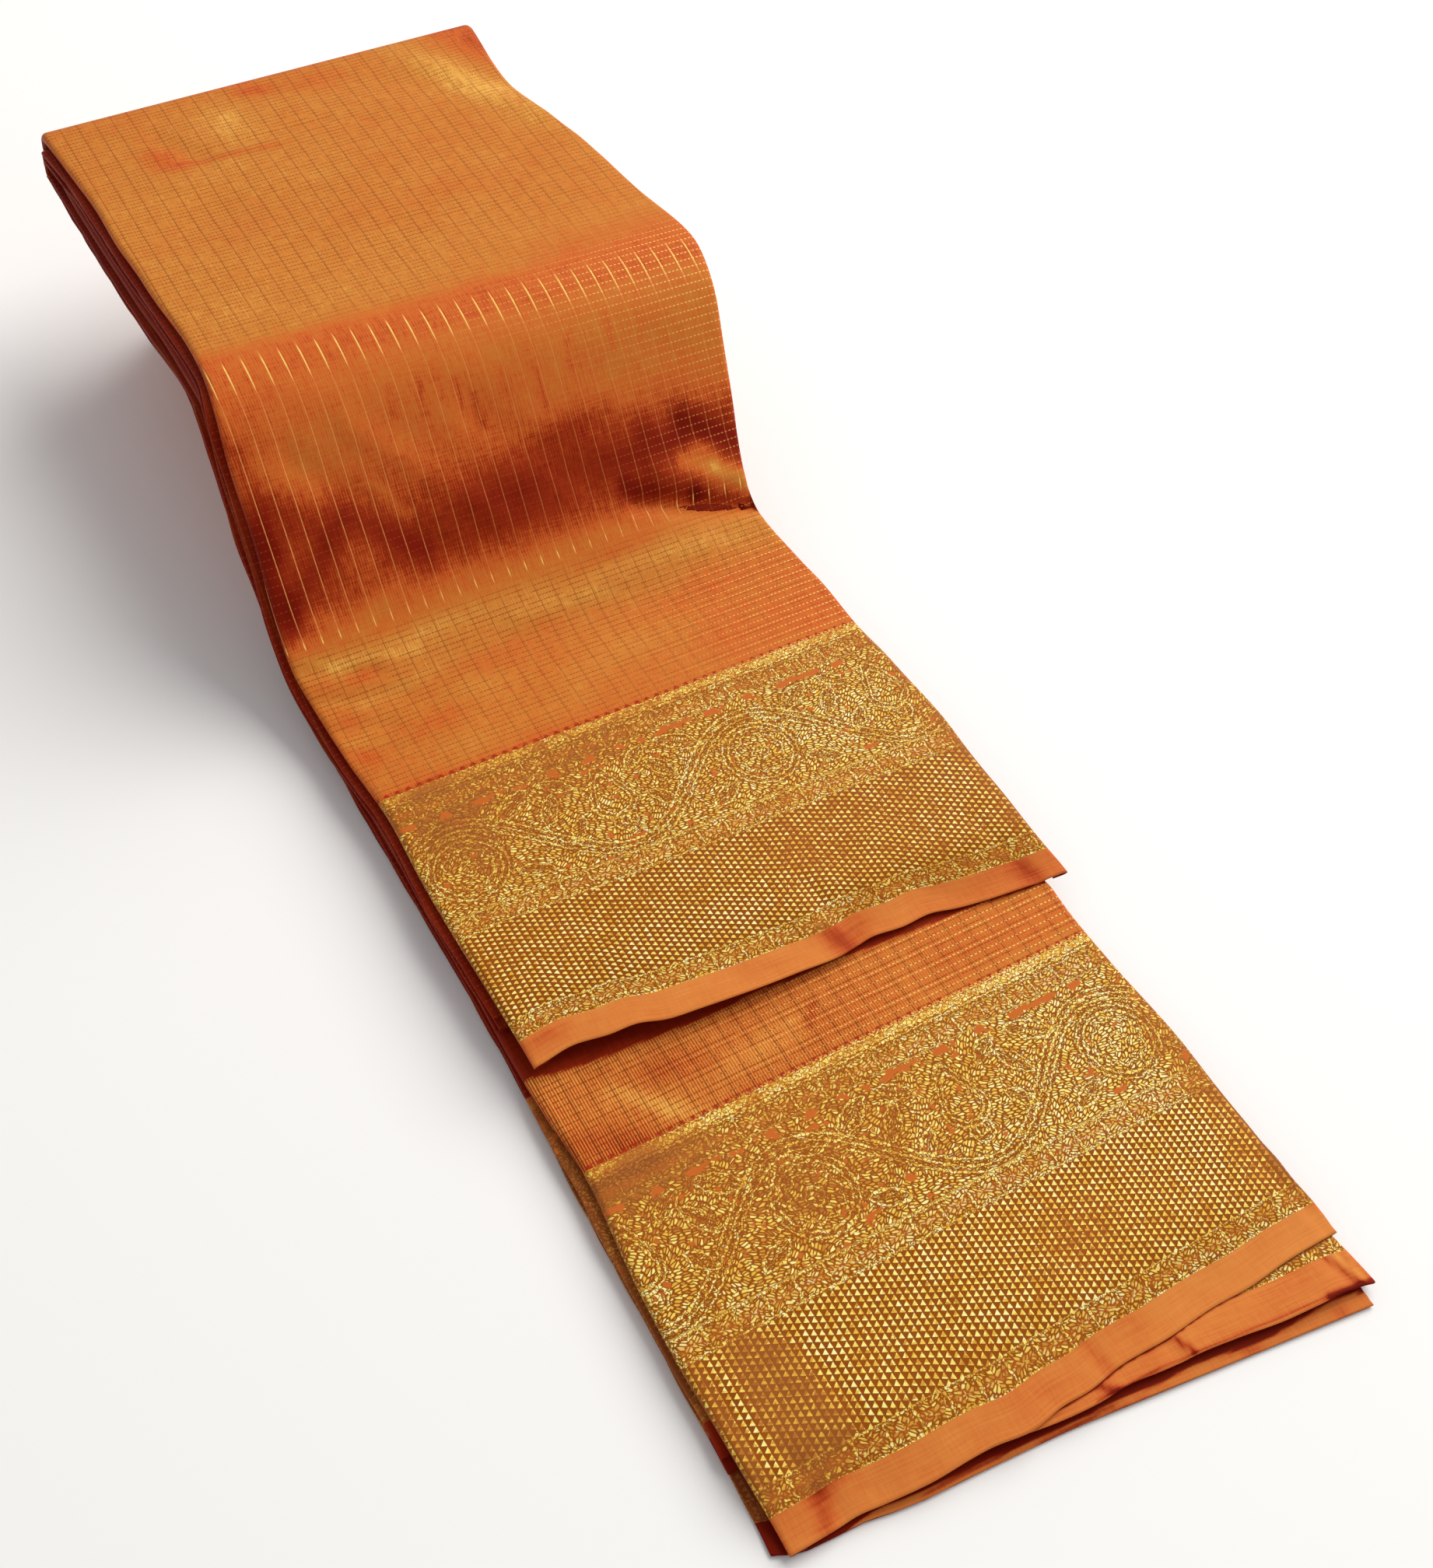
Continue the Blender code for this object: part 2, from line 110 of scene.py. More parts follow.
class Line(NamedTuple):
    """A soft line between two places: a trough so many millimetres deep, or so much painted highlight,
    painted shade where negative.
    """

    across: Length
    along: Length
    to_across: Length
    to_along: Length
    width: Length
    amount: float


class Level(NamedTuple):
    """A tone at the left, the middle and the right of the strip, at one place along it."""

    along: Length
    left: float
    middle: float
    right: float


class Hold(Enum):
    """How a sheet of cloth is held."""

    FOLDED = "folded"


class Slot(Enum):
    """The sari's colour slots."""

    SILK = "silk"
    SHADED = "shaded_silk"


class Look(Enum):
    """The numbers on a cloth's points that its material reads: the tone, with painted shade and painted
    sheen in it, the painted glints of the along and cross threads, and the rib.
    """

    # The tone holds painted shade and painted sheen
    TONE = "tone"
    # How light the along and cross threads look: painted gold glints, and dark where they catch no light
    WARP = "warp"
    WEFT = "weft"
    RIB = "rib"


def table(kind: type, *rows: tuple[float, ...]) -> tuple[NamedTuple, ...]:
    """Rows of one kind. Their lengths are written in millimetres and held in metres.

    Args:
        kind: the kind of row.
        rows: its numbers.

    Returns:
        The rows.
    """
    units = [MILLIMETRES if held is Length else 1.0 for held in kind.__annotations__.values()]
    return tuple(kind(*(number / unit for number, unit in zip(row, units))) for row in rows)


# Depths of the layers below the top line, as in the solid model
GAP = 0.0003
FOLD_DEPTH = 0.0044
UPPER_INNER_TOP = FOLD_DEPTH + GAP
UPPER_INNER_DEPTH = 0.0054
LOWER_SHEET_TOP = UPPER_INNER_TOP + UPPER_INNER_DEPTH + GAP
LOWER_FOLD_DEPTH = 0.0040
LOWER_INNER_TOP = LOWER_SHEET_TOP + LOWER_FOLD_DEPTH + GAP
LOWER_INNER_DEPTH = 0.0045
BOTTOM_SHEET_TOP = LOWER_INNER_TOP + LOWER_INNER_DEPTH + GAP
BOTTOM_DEPTH = 0.0012
STACK_DEPTH = BOTTOM_SHEET_TOP + BOTTOM_DEPTH

# The cloth, in metres: its wall, the strip's width, and its bands' depths from the selvedge's edge
SHELL = 0.00035
WIDTH = 0.21
SELVEDGE_DEPTH = 0.0118
BORDER_DEPTH = 0.1350
# How far in from a sheet's near edge its lift and its sinking fade out, and how much flatter its folds get
LIFT_FADE = 0.018
DROP_FADE = 0.030
FLATTENED = 0.6
# How far before the far fold hollows fade out, and each slow swell's depth and wavelength
SINK_FADE = 0.022
SWELLS = ((0.00022, 0.022), (0.0003, 0.06))
# Where the upper sheet's arc round the far fold ends, its rows, and its least radius
FAR_ARC = math.radians(160)
FAR_ROWS = 16
LEAST_RADIUS = 0.002
# From just before to just after the place where a sheet goes under another, its tone turns to painted shade,
# the shadow under the sheet above
COVER_EDGE = (-0.0001, 0.0003)
# How much of its tone a sheet loses down a folded side, and how much painted shade darkens it there and at
# the far fold
SIDE_FADE = 0.8
SIDE_SHADE = 1.2
FAR_SHADE = 0.8
# How far from the strip's middle line the outer columns of a tone table are
COLUMN = 0.1
# Where the photo was taken from, in the strip's coordinates
VIEW_FROM = np.array([-0.2315, -0.0974, 0.5502])
GOLD_TINT = (255, 190, 110)

# The side folds of the upper sheet, of the layers inside the stacks, and of the lower sheet
UPPER_EDGES = table(
    Edge,
    (150, -103, 109), (172, -103, 109.2), (214, -104, 110), (250, -105, 110.5), (295, -104.5, 107.2),
    (322, -107, 106.6), (348, -108.8, 104.2), (369, -110.8, 99), (394, -108.5, 101.8),
    (428, -106.8, 107.2), (455, -103.2, 109.8), (490, -104, 105), (535, -106.2, 100), (583, -107.2, 90.5),
    (632, -110.8, 95),
)
INNER_EDGES = table(
    Edge,
    (0, -108.5, 106.8), (40, -107.8, 107), (98, -107.7, 106.6), (160, -106.6, 106), (192, -105.8, 107.5),
    (230, -106.2, 108.5), (300, -107.7, 106), (355, -108.6, 103), (395, -110.8, 100.5),
    (432, -110.1, 105.5), (464, -107.8, 108), (508, -110.1, 102), (563, -111.9, 92.5),
    (632, -112.7, 93.5),
)
LOWER_EDGES = table(
    Edge,
    (-4, -106.2, 108), (18, -105.5, 108.3), (43, -106.2, 107.7), (89, -106.6, 108), (133, -103.4, 105.5),
    (160, -105.2, 106.2), (240, -105.8, 108.5), (300, -107, 106), (369, -109.8, 99), (455, -107, 107.5),
    (563, -110.5, 92.5), (632, -111, 93.5),
)
SECOND_EDGES = table(Edge, (-30, -66, 112), (0, -66, 111.2), (30, -66, 107.5))

# The near edges, as they wave
UPPER_HEM = table(
    Hem,
    (-110, -7.8, 0), (-101, -8.1, 0), (-88, -9.6, 0.4), (-75, -7.6, 0.6), (-64, -7, 0.4), (-55, -4.3, 0),
    (-42, -2.7, 0), (-24, -0.9, 0), (-4, 0.5, 0), (14, 1.4, 0), (26, -0.1, 0.4), (40, 1.4, 0.4),
    (52, 1.2, 0.4), (62, 3.4, 0), (75, 5.5, 0), (88, 6.9, 0), (107, 8.4, 0), (112, 8.8, 0),
)
LOWER_HEM = table(
    Hem,
    (-110, 0.4, 0), (-92, 0.6, 0), (-83, 0.3, 0.2), (-74, 1.3, 0), (-60, 2.7, 0), (-35, 3.2, 0),
    (-22, 5, 0.2), (-9, 3.4, 0), (1, 3.5, 0), (15, 1.8, 0.2), (32, 2, 0), (54, 0.9, 0), (69, 1.3, 0),
    (85, 0.3, 0), (112, 0.4, 0),
)
SECOND_HEM = table(
    Hem,
    (-70, -4, 0), (-30, 2, 0), (-19, 4.4, 0.2), (4, 7.1, 0.6), (17, 7, 0.2), (29, 8.6, 0.2),
    (46, 10.2, 0.6), (57, 11.8, 0.4), (74, 14.6, 0.2), (88, 16, 0.4), (103, 17.4, 0.4), (113, 20, 0),
)
BOTTOM_HEM = table(
    Hem,
    (-110, -4.8, 0), (-102, -1.1, 0), (-90, 0.4, 0), (-78, 1.2, 0), (-69, 3, 0), (-59, 4.4, 0),
    (-45, 5.4, 0), (-30, 6.7, 0), (-5, 9, 0), (11, 11.1, 0), (64, 18.3, 0), (108, 24.3, 0),
)

# How far they sink, and where each lower sheet goes under the one above and takes painted shade
UPPER_DROP = table(
    Drop,
    (-110, 4), (-80, 3), (-50, 2.6), (-20, 4), (10, 6.4), (40, 8), (112, 8.2),
)
LOWER_DROP = table(
    Drop,
    (-110, 6), (-75, 5.8), (-55, 4.2), (30, 4.8), (112, 4),
)
LOWER_COVER = table(
    Cover,
    (-110, 175), (-105, 174.3), (-96, 172.1), (-88, 170.8), (-77, 169.8), (-63, 169), (-49, 168.2),
    (-28, 167.9), (-20, 168.6), (-1, 166.9), (12, 167.2), (27, 165.8), (47, 164.7), (60, 163.8),
    (76, 163), (92, 161.2), (105, 159.8),
)
SECOND_COVER = table(
    Cover,
    (-40, -3.5), (-7, -3), (4, -3.3), (18, -1.4), (35, -1.6), (43, -1.2), (57, -0.4), (72, -0.9),
    (89, 0.3), (100, 0.4),
)
BOTTOM_COVER = table(
    Cover,
    (-110, 2), (-100, -0.4), (-90, -1.2), (-82, -0.6), (-76, 0.2), (-64, -1.6), (-44, -3.5), (-37, -4),
    (-15, -6.6), (13, -8.9), (28, -11.1), (40, -11.2), (56, -14.3), (74, -16.4), (87, -16.4), (100, -17),
    (106, -19.4),
)

# Hollows and creases, in millimetres of depth
DENTS = table(
    Oval,
    (88, 374, 34, 6, -4, 3.4), (-50, 372, 45, 10, 6, 1.6), (-90, 330, 30, 11, 24, 1.2),
    (20, 345, 50, 11, -5, 1), (-72, 545, 30, 16, 8, 1.2), (60, 600, 45, 12, -20, 1.4),
    (-10, 495, 60, 15, 5, 1),
)
UPPER_CREASES = table(
    Line,
    (46, 381.5, 104, 366.5, 2.4, 2.6), (60, 386.5, 104, 376, 4, -1.8), (70, 399, 106, 390, 4.5, 1.2),
    (-85, 416, -35, 384, 5, 1.2), (-60, 420, -12, 390, 4.5, -1), (-10, 415, 30, 390, 6, 0.9),
    (-112, 365, -80, 356, 2.6, 0.9), (-112, 352, -74, 344, 2.8, 0.8), (-112, 338, -85, 333, 3, 0.8),
    (-110, 324, -88, 320, 2.8, 0.6), (-20, 356, 70, 362, 5, -0.8), (-78, 586, 4, 593, 2.2, 0.7),
    (-68, 605, -56, 585, 6, 1), (48, 642, 92, 560, 8, -1), (-26, 648, -12, 628, 5, 1),
    (18, 196, 24, 155, 3.5, 0.6), (92, 190, 98, 150, 3, 0.6), (-105, 260, -96, 276, 6, 0.7),
)
LOWER_CREASES = table(
    Line,
    (-92, 26, -86, -2, 3.5, 0.5), (8, 16, 11, -4, 3, 0.4), (102, 30, 105, 0, 2.5, 0.5),
    (-60, 150, 10, 142, 5, -0.5),
)
SECOND_CREASES = table(
    Line,
    (34, 0, 38, -12, 2.6, 0.6), (100, -4, 104, -20, 2.2, 0.6),
)

# The silk's tone, its own colour with painted light and shade in it: -1 deep red painted shade, 0 orange
# red, 1 tan gold, more for a painted yellow sheen. Ovals and lines add painted highlights and painted shade,
# and some uneven tone
UPPER_LEVELS = table(
    Level,
    (295, 0.45, 0.55, 0.1), (322, 0.55, 0.5, 0.05), (343, 0.5, 0.55, 0.25), (351, 0.55, 0.6, 0.4),
    (358, 0.75, 0.75, 0.62), (364, 0.8, 0.85, 0.85), (370, 0.3, 0.45, 0.45), (376.5, -0.15, 0.25, 0.1),
    (382, -0.35, -0.35, -0.2), (387.5, -0.35, -0.7, -0.3), (393.5, -0.22, -0.72, -0.42),
    (400, -0.12, -0.48, -0.35), (406.5, 0, -0.12, 0.15), (415, 0.05, 0.15, 0.42),
    (428, -0.02, 0.28, 0.46), (438, 0.05, 0.25, 0.35), (443, 0, 0, 0), (456, 0.1, 0.1, 0),
    (463, 0.75, 0.65, 0.15), (478, 0.88, 0.8, 0.6), (540, 0.78, 0.74, 0.66), (600, 0.72, 0.7, 0.62),
    (640, 0.6, 0.64, 0.4),
)
UPPER_PATCHES = table(
    Oval,
    (-12, 394.5, 28, 8, 0, -0.25), (-69, 388.5, 10, 6, 0, 0.15), (-98, 398.5, 8, 7, 0, -0.4),
    (-70, 377, 18, 4, 20, 0.3), (-72, 419, 20, 6, 12, 0.2), (82, 390, 6, 1.8, -10, 0.5),
    (30, 405, 22, 4, 4, -0.35), (50, 393, 18, 6, -10, -0.35), (-50, 365.5, 36, 3.4, 4, 0.25),
    (-97, 360.6, 12, 3, 16, 0.2), (12, 356, 22, 4, -8, 0.35), (72, 359.8, 30, 3.4, -4, 0.4),
    (20, 367, 26, 2.6, 8, -0.3), (-72.8, 347, 22, 2.8, 8, 0.45), (-86, 356.1, 10, 3.4, 8, -0.6),
    (-103, 357.6, 5, 4.4, 10, -0.5), (-100, 340, 6, 5, 10, -0.5), (-100, 321, 6, 6, 10, -0.45),
    (-66, 327, 14, 5, 10, -0.4), (-50, 334, 14, 6, 10, 0.3), (-30, 345, 24, 6, 10, -0.3),
    (-60, 308, 30, 6, 5, 0.2), (20, 328, 30, 9, 10, 0.2), (60, 342, 30, 6, 5, -0.25),
    (-70, 589.4, 8, 11, 30, -0.72), (-44, 582.6, 24, 2.4, -2, -0.45), (-52, 575.5, 30, 8, 6, 0.2),
    (-37, 606, 14, 16, -20, 0.5), (-18, 625.6, 9, 5.2, -10, -0.85), (72, 598, 52, 12.5, -64, 0.75),
    (96, 628, 22, 20, 30, -0.75), (10, 623, 16, 6, 0, -0.35), (10, 520, 50, 12, 8, -0.2),
    (-60, 530, 24, 8, 8, -0.22), (40, 560, 30, 10, 10, -0.18), (-86, 274, 18, 26, 10, -0.95),
    (-40, 283, 40, 16, 0, -0.75), (-88, 296.2, 34, 3.4, 0, -0.85), (-20, 296.6, 40, 2.8, 0, -0.35),
    (0, 292, 40, 8, 0, -0.4), (85, 265, 26, 26, -20, 0.6), (60, 255, 12, 30, 40, 0.4),
    (-30, 195, 90, 12, 0, 0.45), (95, 200, 18, 30, 0, 0.45), (25, 205, 16, 18, 0, -0.35),
    (20, 169, 9, 6, 0, -0.45), (94, 162, 5, 8, 0, -0.6), (-94, 181, 8, 3.4, 0, -0.6),
)
UPPER_SHADES = table(
    Line,
    (-72, 401.1, -45, 386.7, 5, -0.52), (-98, 408, -79, 398.5, 5.8, -0.52),
    (-83, 394.1, -102.5, 383.1, 4.6, -0.42), (-104, 422, -103, 397.8, 4, -0.5),
    (-55.5, 405.4, -47.5, 395.8, 2, 0.42), (-40, 427, -40, 419.5, 1.1, -0.35),
    (-28, 425.3, -29, 418, 1.3, -0.5), (-20.5, 426.2, -21, 420.6, 1, -0.3),
    (-13.5, 423.5, -13.5, 416, 1.2, -0.45), (-8, 418.9, -7, 411.5, 1.3, -0.55),
    (6, 424, 6.5, 415, 1.1, -0.35), (20, 421.5, 20.5, 412, 1.3, -0.4), (36.5, 426, 36, 418, 1.2, -0.35),
    (56, 430, 55, 421, 1.4, -0.4), (44, 386, 74.5, 378.4, 3.2, -0.7), (74.5, 378.2, 101, 369.4, 3, -1),
    (58, 399, 74, 392.5, 4.5, -0.4), (77, 398, 101, 387.8, 4.6, -0.75), (72, 388.8, 86, 384.2, 2.6, 0.8),
    (86, 384.2, 99, 377.5, 3, 0.9), (-108.5, 402, -105.5, 378, 6, -0.7),
    (-66, 583.3, -22, 581.6, 1.6, -0.3), (-104, 368.4, -96, 362.8, 1.8, 0.3),
    (-96, 362.6, -62, 358.8, 2, 0.3), (-104, 351, -90, 343.6, 1.8, 0.35),
    (-104, 330, -92, 325.2, 1.8, 0.35), (14, 174, 18, 161, 5, -0.8), (94, 170, 98, 156, 2.6, -0.35),
    (108, 290, 107, 176, 3.4, -0.7),
)
LOWER_SHADES = table(
    Line,
    (-80.3, 156.9, -67.2, 142.4, 3, 0.7), (-67.2, 142.4, -50.7, 128.9, 3.4, 0.7),
    (-1.8, 155.2, -8.1, 147.7, 1.8, -0.6), (-89, 11.2, -92.2, 0.8, 3.4, -0.8),
    (9, 11, 11, -3, 2.2, -0.55), (106.6, 132, 107, 14, 3.4, -1.35), (97.5, 90, 96.5, 25, 4.5, -0.5),
    (-90.5, 60, -90, 15, 5.2, -0.85), (-82.5, 60, -81, 15, 5.2, -0.85),
    (-75.5, 54, -72.5, 22, 4.6, -0.75), (-97.4, 50, -96.6, 22, 1.5, 0.9), (-103, 64, -102, 14, 3, -0.9),
    (-66.5, 55, -60, 24, 4, 0.45),
)
LOWER_LEVELS = table(
    Level,
    (-6, 0.5, 0.38, 0.85), (11.5, 0.45, 0.38, 0.85), (20, 0.3, 0.6, 0.5), (65, 0.5, 0.9, 0.95),
    (100, 0.1, 0.2, 1.1), (130, -0.4, 0.4, 1), (138, 0.3, 0.35, 0.45), (150, 0.45, 0.3, 0.4),
    (200, 0.3, 0.2, 0.3),
)
LOWER_PATCHES = table(
    Oval,
    (-100, 80, 6, 30, 0, 0.45), (30, 42, 18, 12, 30, -0.6), (10, 56, 16, 5, 0, -0.3),
    (-40, 90, 22, 16, 0, -0.45), (-86, 128, 22, 8, 0, -0.7), (90, 45, 16, 20, 0, 0.3),
    (101, 76, 4, 50, 0, -0.7), (-58, 155.5, 12, 6, -10, -0.5), (-88, 140, 10, 6, -20, -0.6),
    (-98.5, 144, 4, 5, 0, -0.5), (-30, 148, 24, 6, 10, 0.35), (85, 148, 30, 6, 0, -0.15),
)

SECOND_LEVELS = table(
    Level,
    (-30, 0.3, 0.35, 0.4), (-4, 0.25, 0.3, 0.4), (2, 0.2, 0.3, 0.5), (30, 0, 0.1, 0.9),
)
SECOND_PATCHES = table(
    Oval,
    (80, 2, 18, 3, 0, 0.7),
)
SECOND_SHADES = table(
    Line,
    (37.2, 1, 41.2, -8.5, 1.2, -1.3), (5, -1, 12.5, -8, 1.8, -1.2), (100, -1, 106, -18, 1.1, -0.9),
    (103, -1, 108, -16, 0.9, 0.9), (93, -15.8, 113.5, -18.8, 1.6, -1.6),
    (112.2, -8, 113.2, -20, 1.8, -1.4), (4, -6.2, 28, -7.4, 0.5, -1.1), (30, -7.6, 106, -17, 0.5, -0.9),
)
BOTTOM_SHADES = table(
    Line,
    (-60, -3, -30, -5.2, 0.5, -0.9), (-20, -7.4, 4, -9.2, 0.7, -1.1), (6, -8.4, 12, -12, 1.4, -0.9),
    (16, -11.2, 20, -12.4, 0.8, -0.6),
)
BOTTOM_PATCHES = table(
    Oval,
    (60, -18, 4, 6, 0, -0.6), (95, -22, 3, 5, 0, -0.6),
)


# The along-lines and cross lines of the check, with painted glints: -1 dark brown thread, 0 hardly seen, 1
# light gold thread with a painted glint
UPPER_WARP = table(
    Level,
    (295, -0.6, -0.6, -0.3), (330, -0.7, -0.7, -0.6), (346, -0.7, -0.7, -0.6), (354, -0.75, -0.75, -0.65),
    (365, -0.75, -0.75, -0.65), (369, -0.5, -0.5, -0.5), (370.6, 0.3, -0.3, -0.6),
    (372.2, 1.8, 0.3, -0.3), (374, 0.5, 1.8, 0.2), (375.7, 0.6, 0.4, 0.9), (377.4, 0.65, 0.4, 1.7),
    (379.2, 0.7, 0.4, 0.5), (386, 0.8, 0.4, 0.4), (410, 0.8, 0.45, 0.4), (430, 0.65, 0.45, 0.3),
    (436, 0.35, 0.4, 0.8), (439, 1.1, 1.2, 1.3), (444, 1.4, 1.5, 1.5), (449.5, 1.5, 1.4, 1.3),
    (453, 0.5, 0.3, 0.2), (463, -0.6, -0.6, -0.2), (500, -0.8, -0.8, -0.7), (640, -0.75, -0.75, -0.65),
)
UPPER_WEFT = table(
    Level,
    (295, -0.4, 0.1, 1.2), (335, -0.4, 0.3, 1.2), (352, -0.3, 0.2, 1.1), (366, -0.2, 0.1, 0.5),
    (400, -0.5, -0.3, 0.7), (425, -0.4, 0, 1), (443, -0.2, 0.5, 1.3), (456, -0.3, 0.2, 1.2),
    (470, -0.6, -0.4, 0.2), (520, -0.36, -0.26, -0.18), (640, -0.4, -0.26, -0.1),
)
LOWER_RIB = table(
    Level,
    (145, 0.85, 0.7, 0.15), (175, 1, 0.6, 0.1),
)
LOWER_WARP = table(
    Level,
    (130, -0.9, -0.9, -0.8), (165, -0.9, -0.9, -0.8), (250, -0.6, -0.6, -0.6),
)
LOWER_WEFT = table(
    Level,
    (130, 0.1, 0.9, 1.1), (165, 0.1, 0.9, 1.3), (250, 0.4, 0.4, 0.4),
)
# One tone all over, and threads of one darkness
FLAT_LEVELS = table(Level, (0, 0.35, 0.35, 0.35), (700, 0.35, 0.35, 0.35))
THREAD_LEVELS = table(Level, (0, -0.5, -0.5, -0.5), (700, -0.5, -0.5, -0.5))
BORDER_RIB = table(Level, (0, 0.15, 0.15, 0.1))


def column(rows: Sequence[NamedTuple], name: str) -> Array:
    """One named column of a table.

    Args:
        rows: the table's rows.
        name: the column's name.

    Returns:
        The column as an array.
    """
    return np.array([getattr(row, name) for row in rows])


def table_value(rows: Sequence[NamedTuple], at_name: str, name: str, at: Array) -> Array:
    """A column read at any place, by the cubic through each two rows with the rows' central slopes.

    Args:
        rows: the table's rows, in rising order of the column at_name.
        at_name: the column of places.
        name: the column of values.
        at: the places wanted.

    Returns:
        The values at those places.
    """
    places = column(rows, at_name)
    values = column(rows, name)
    slopes = np.gradient(values, places)
    at = np.clip(at, places[0], places[-1])
    low = np.clip(np.searchsorted(places, at) - 1, 0, len(places) - 2)
    step = places[low + 1] - places[low]
    t = (at - places[low]) / step
    start = values[low] * (1 + 2 * t) * (1 - t) ** 2 + slopes[low] * step * t * (1 - t) ** 2
    end = values[low + 1] * (3 - 2 * t) * t**2 - slopes[low + 1] * step * t**2 * (1 - t)
    return start + end


def smooth_step(low: float, high: float, at: Array) -> Array:
    """Rises from 0 at low to 1 at high as 3t^2 - 2t^3."""
    t = np.clip((at - low) / (high - low), 0, 1)
    return t * t * (3 - 2 * t)


def ripple(x: Array, y: Array, seed: int, scale: float) -> Array:
    """A slow wave field from -1 to 1: the mean of six sines of turned coordinates, with drawn phases.

    Args:
        x: first coordinate.
        y: second coordinate.
        seed: picks the turns and phases.
        scale: the middle wavelength, in the coordinates' units.

    Returns:
        The field at those coordinates.
    """
    draw = np.random.default_rng(seed)
    full = 2 * math.pi
    total = 0.0
    for _ in range(6):
        turn, phase, stretch = draw.uniform(0, full), draw.uniform(0, full), draw.uniform(0.6, 1.6)
        turned = x * math.cos(turn) + y * math.sin(turn)
        total = total + np.sin(full * turned / (scale * stretch) + phase)
    return total / 6


def soft_ovals(rows: Sequence[Oval], x: Array, along: Array) -> Array:
    """The sum of amount times exp(-(a/half_width)^2 - (b/half_length)^2), with a and b turned to each oval.

    Args:
        rows: the ovals.
        x: places across the strip.
        along: places along the strip.

    Returns:
        The sum at those places.
    """
    total = 0 * x
    for row in rows:
        turn = math.radians(row.turn)
        a = (x - row.across) * math.cos(turn) + (along - row.along) * math.sin(turn)
        b = (along - row.along) * math.cos(turn) - (x - row.across) * math.sin(turn)
        total = total + row.amount * np.exp(-(a / row.half_width) ** 2 - (b / row.half_length) ** 2)
    return total


def soft_lines(rows: Sequence[Line], x: Array, along: Array) -> Array:
    """The sum of amount times exp(-(distance / width)^2), by the distance to each line or its nearer end.

    Args:
        rows: the lines.
        x: places across the strip.
        along: places along the strip.

    Returns:
        The sum at those places.
    """
    total = 0 * x
    for row in rows:
        start = np.array([row.across, row.along])
        way = np.array([row.to_across, row.to_along]) - start
        length = float(np.hypot(*way))
        way = way / length
        forward = (x - start[0]) * way[0] + (along - start[1]) * way[1]
        aside = (along - start[1]) * way[0] - (x - start[0]) * way[1]
        beyond = forward - np.clip(forward, 0, length)
        total = total + row.amount * np.exp(-(aside**2 + beyond**2) / row.width**2)
    return total


@dataclass(frozen=True)
class Strip:
    """The top line of the upper stack: flat, a foot arc, a ramp, a head arc, and flat to the far fold."""

    foot_start: float = 0.334
    foot_radius: float = 0.066
    head_radius: float = 0.042
    ramp_angle: float = math.radians(52.0)
    rise: float = 0.0877
    far_turn: float = 0.632
    far_skew: float = 0.065

    @property
    def foot_end(self) -> float:
        """Length at the end of the foot arc."""
        return self.foot_start + self.foot_radius * self.ramp_angle

    @property
    def ramp_rise(self) -> float:
        """Height that the straight ramp climbs."""
        return self.rise - (self.foot_radius + self.head_radius) * (1 - math.cos(self.ramp_angle))

    @property
    def ramp_end(self) -> float:
        """Length at the end of the ramp."""
        return self.foot_end + self.ramp_rise / math.sin(self.ramp_angle)

    @property
    def head_end(self) -> float:
        """Length at the end of the head arc."""
        return self.ramp_end + self.head_radius * self.ramp_angle

    @property
    def turn_length(self) -> float:
        """Length at which the far fold starts to turn."""
        arcs = (self.foot_radius + self.head_radius) * math.sin(self.ramp_angle)
        step = self.foot_start + arcs + self.ramp_rise / math.tan(self.ramp_angle)
        return self.head_end + self.far_turn - step

    def top_line(self, length: Array) -> tuple[Array, Array, Array]:
        """The line y(length), z(length) and its tilt, by adding up the arcs and the ramp.

        Args:
            length: distance on the line from the near end.

        Returns:
            y, z and the tilt from level.
        """
        steep = self.ramp_angle
        foot = np.clip((length - self.foot_start) / self.foot_radius, 0, steep)
        ramp = np.clip(length - self.foot_end, 0, self.ramp_end - self.foot_end)
        head = np.clip((length - self.ramp_end) / self.head_radius, 0, steep)
        y = np.minimum(length, self.foot_start) + self.foot_radius * np.sin(foot) + ramp * math.cos(steep)
        y = y + self.head_radius * (math.sin(steep) - np.sin(steep - head))
        y = y + np.maximum(length - self.head_end, 0)
        z = STACK_DEPTH + self.foot_radius * (1 - np.cos(foot)) + ramp * math.sin(steep)
        z = z + self.head_radius * (np.cos(steep - head) - math.cos(steep))
        return y, z, foot - head

    def place(self, x: Array, length: Array, depth: Array) -> Array:
        """Points this deep below the top line, square to it.

        Args:
            x: places across.
            length: lengths on the top line.
            depth: depths below it.

        Returns:
            Points, with x, y and z as the last axis.
        """
        y, z, tilt = self.top_line(length)
        return np.stack(np.broadcast_arrays(x, y + depth * np.sin(tilt), z - depth * np.cos(tilt)), axis=-1)

    def far_shift(self, length: Array, x: Array) -> Array:
        """How far a place is pushed along, because the far fold runs a little askew."""
        return smooth_step(self.head_end, self.turn_length, length) * self.far_skew * x


STRIP = Strip()
# The strip's zero in the frame, from two boxes of the solid model whose place on the strip is known
UNDER_FAR = 0.631
SECOND_RIGHT = 0.1110
PLACING = np.array(
    [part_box("second_sheet")[1][0] - SECOND_RIGHT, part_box("under_layers")[1][1] - UNDER_FAR, 0.0]
)


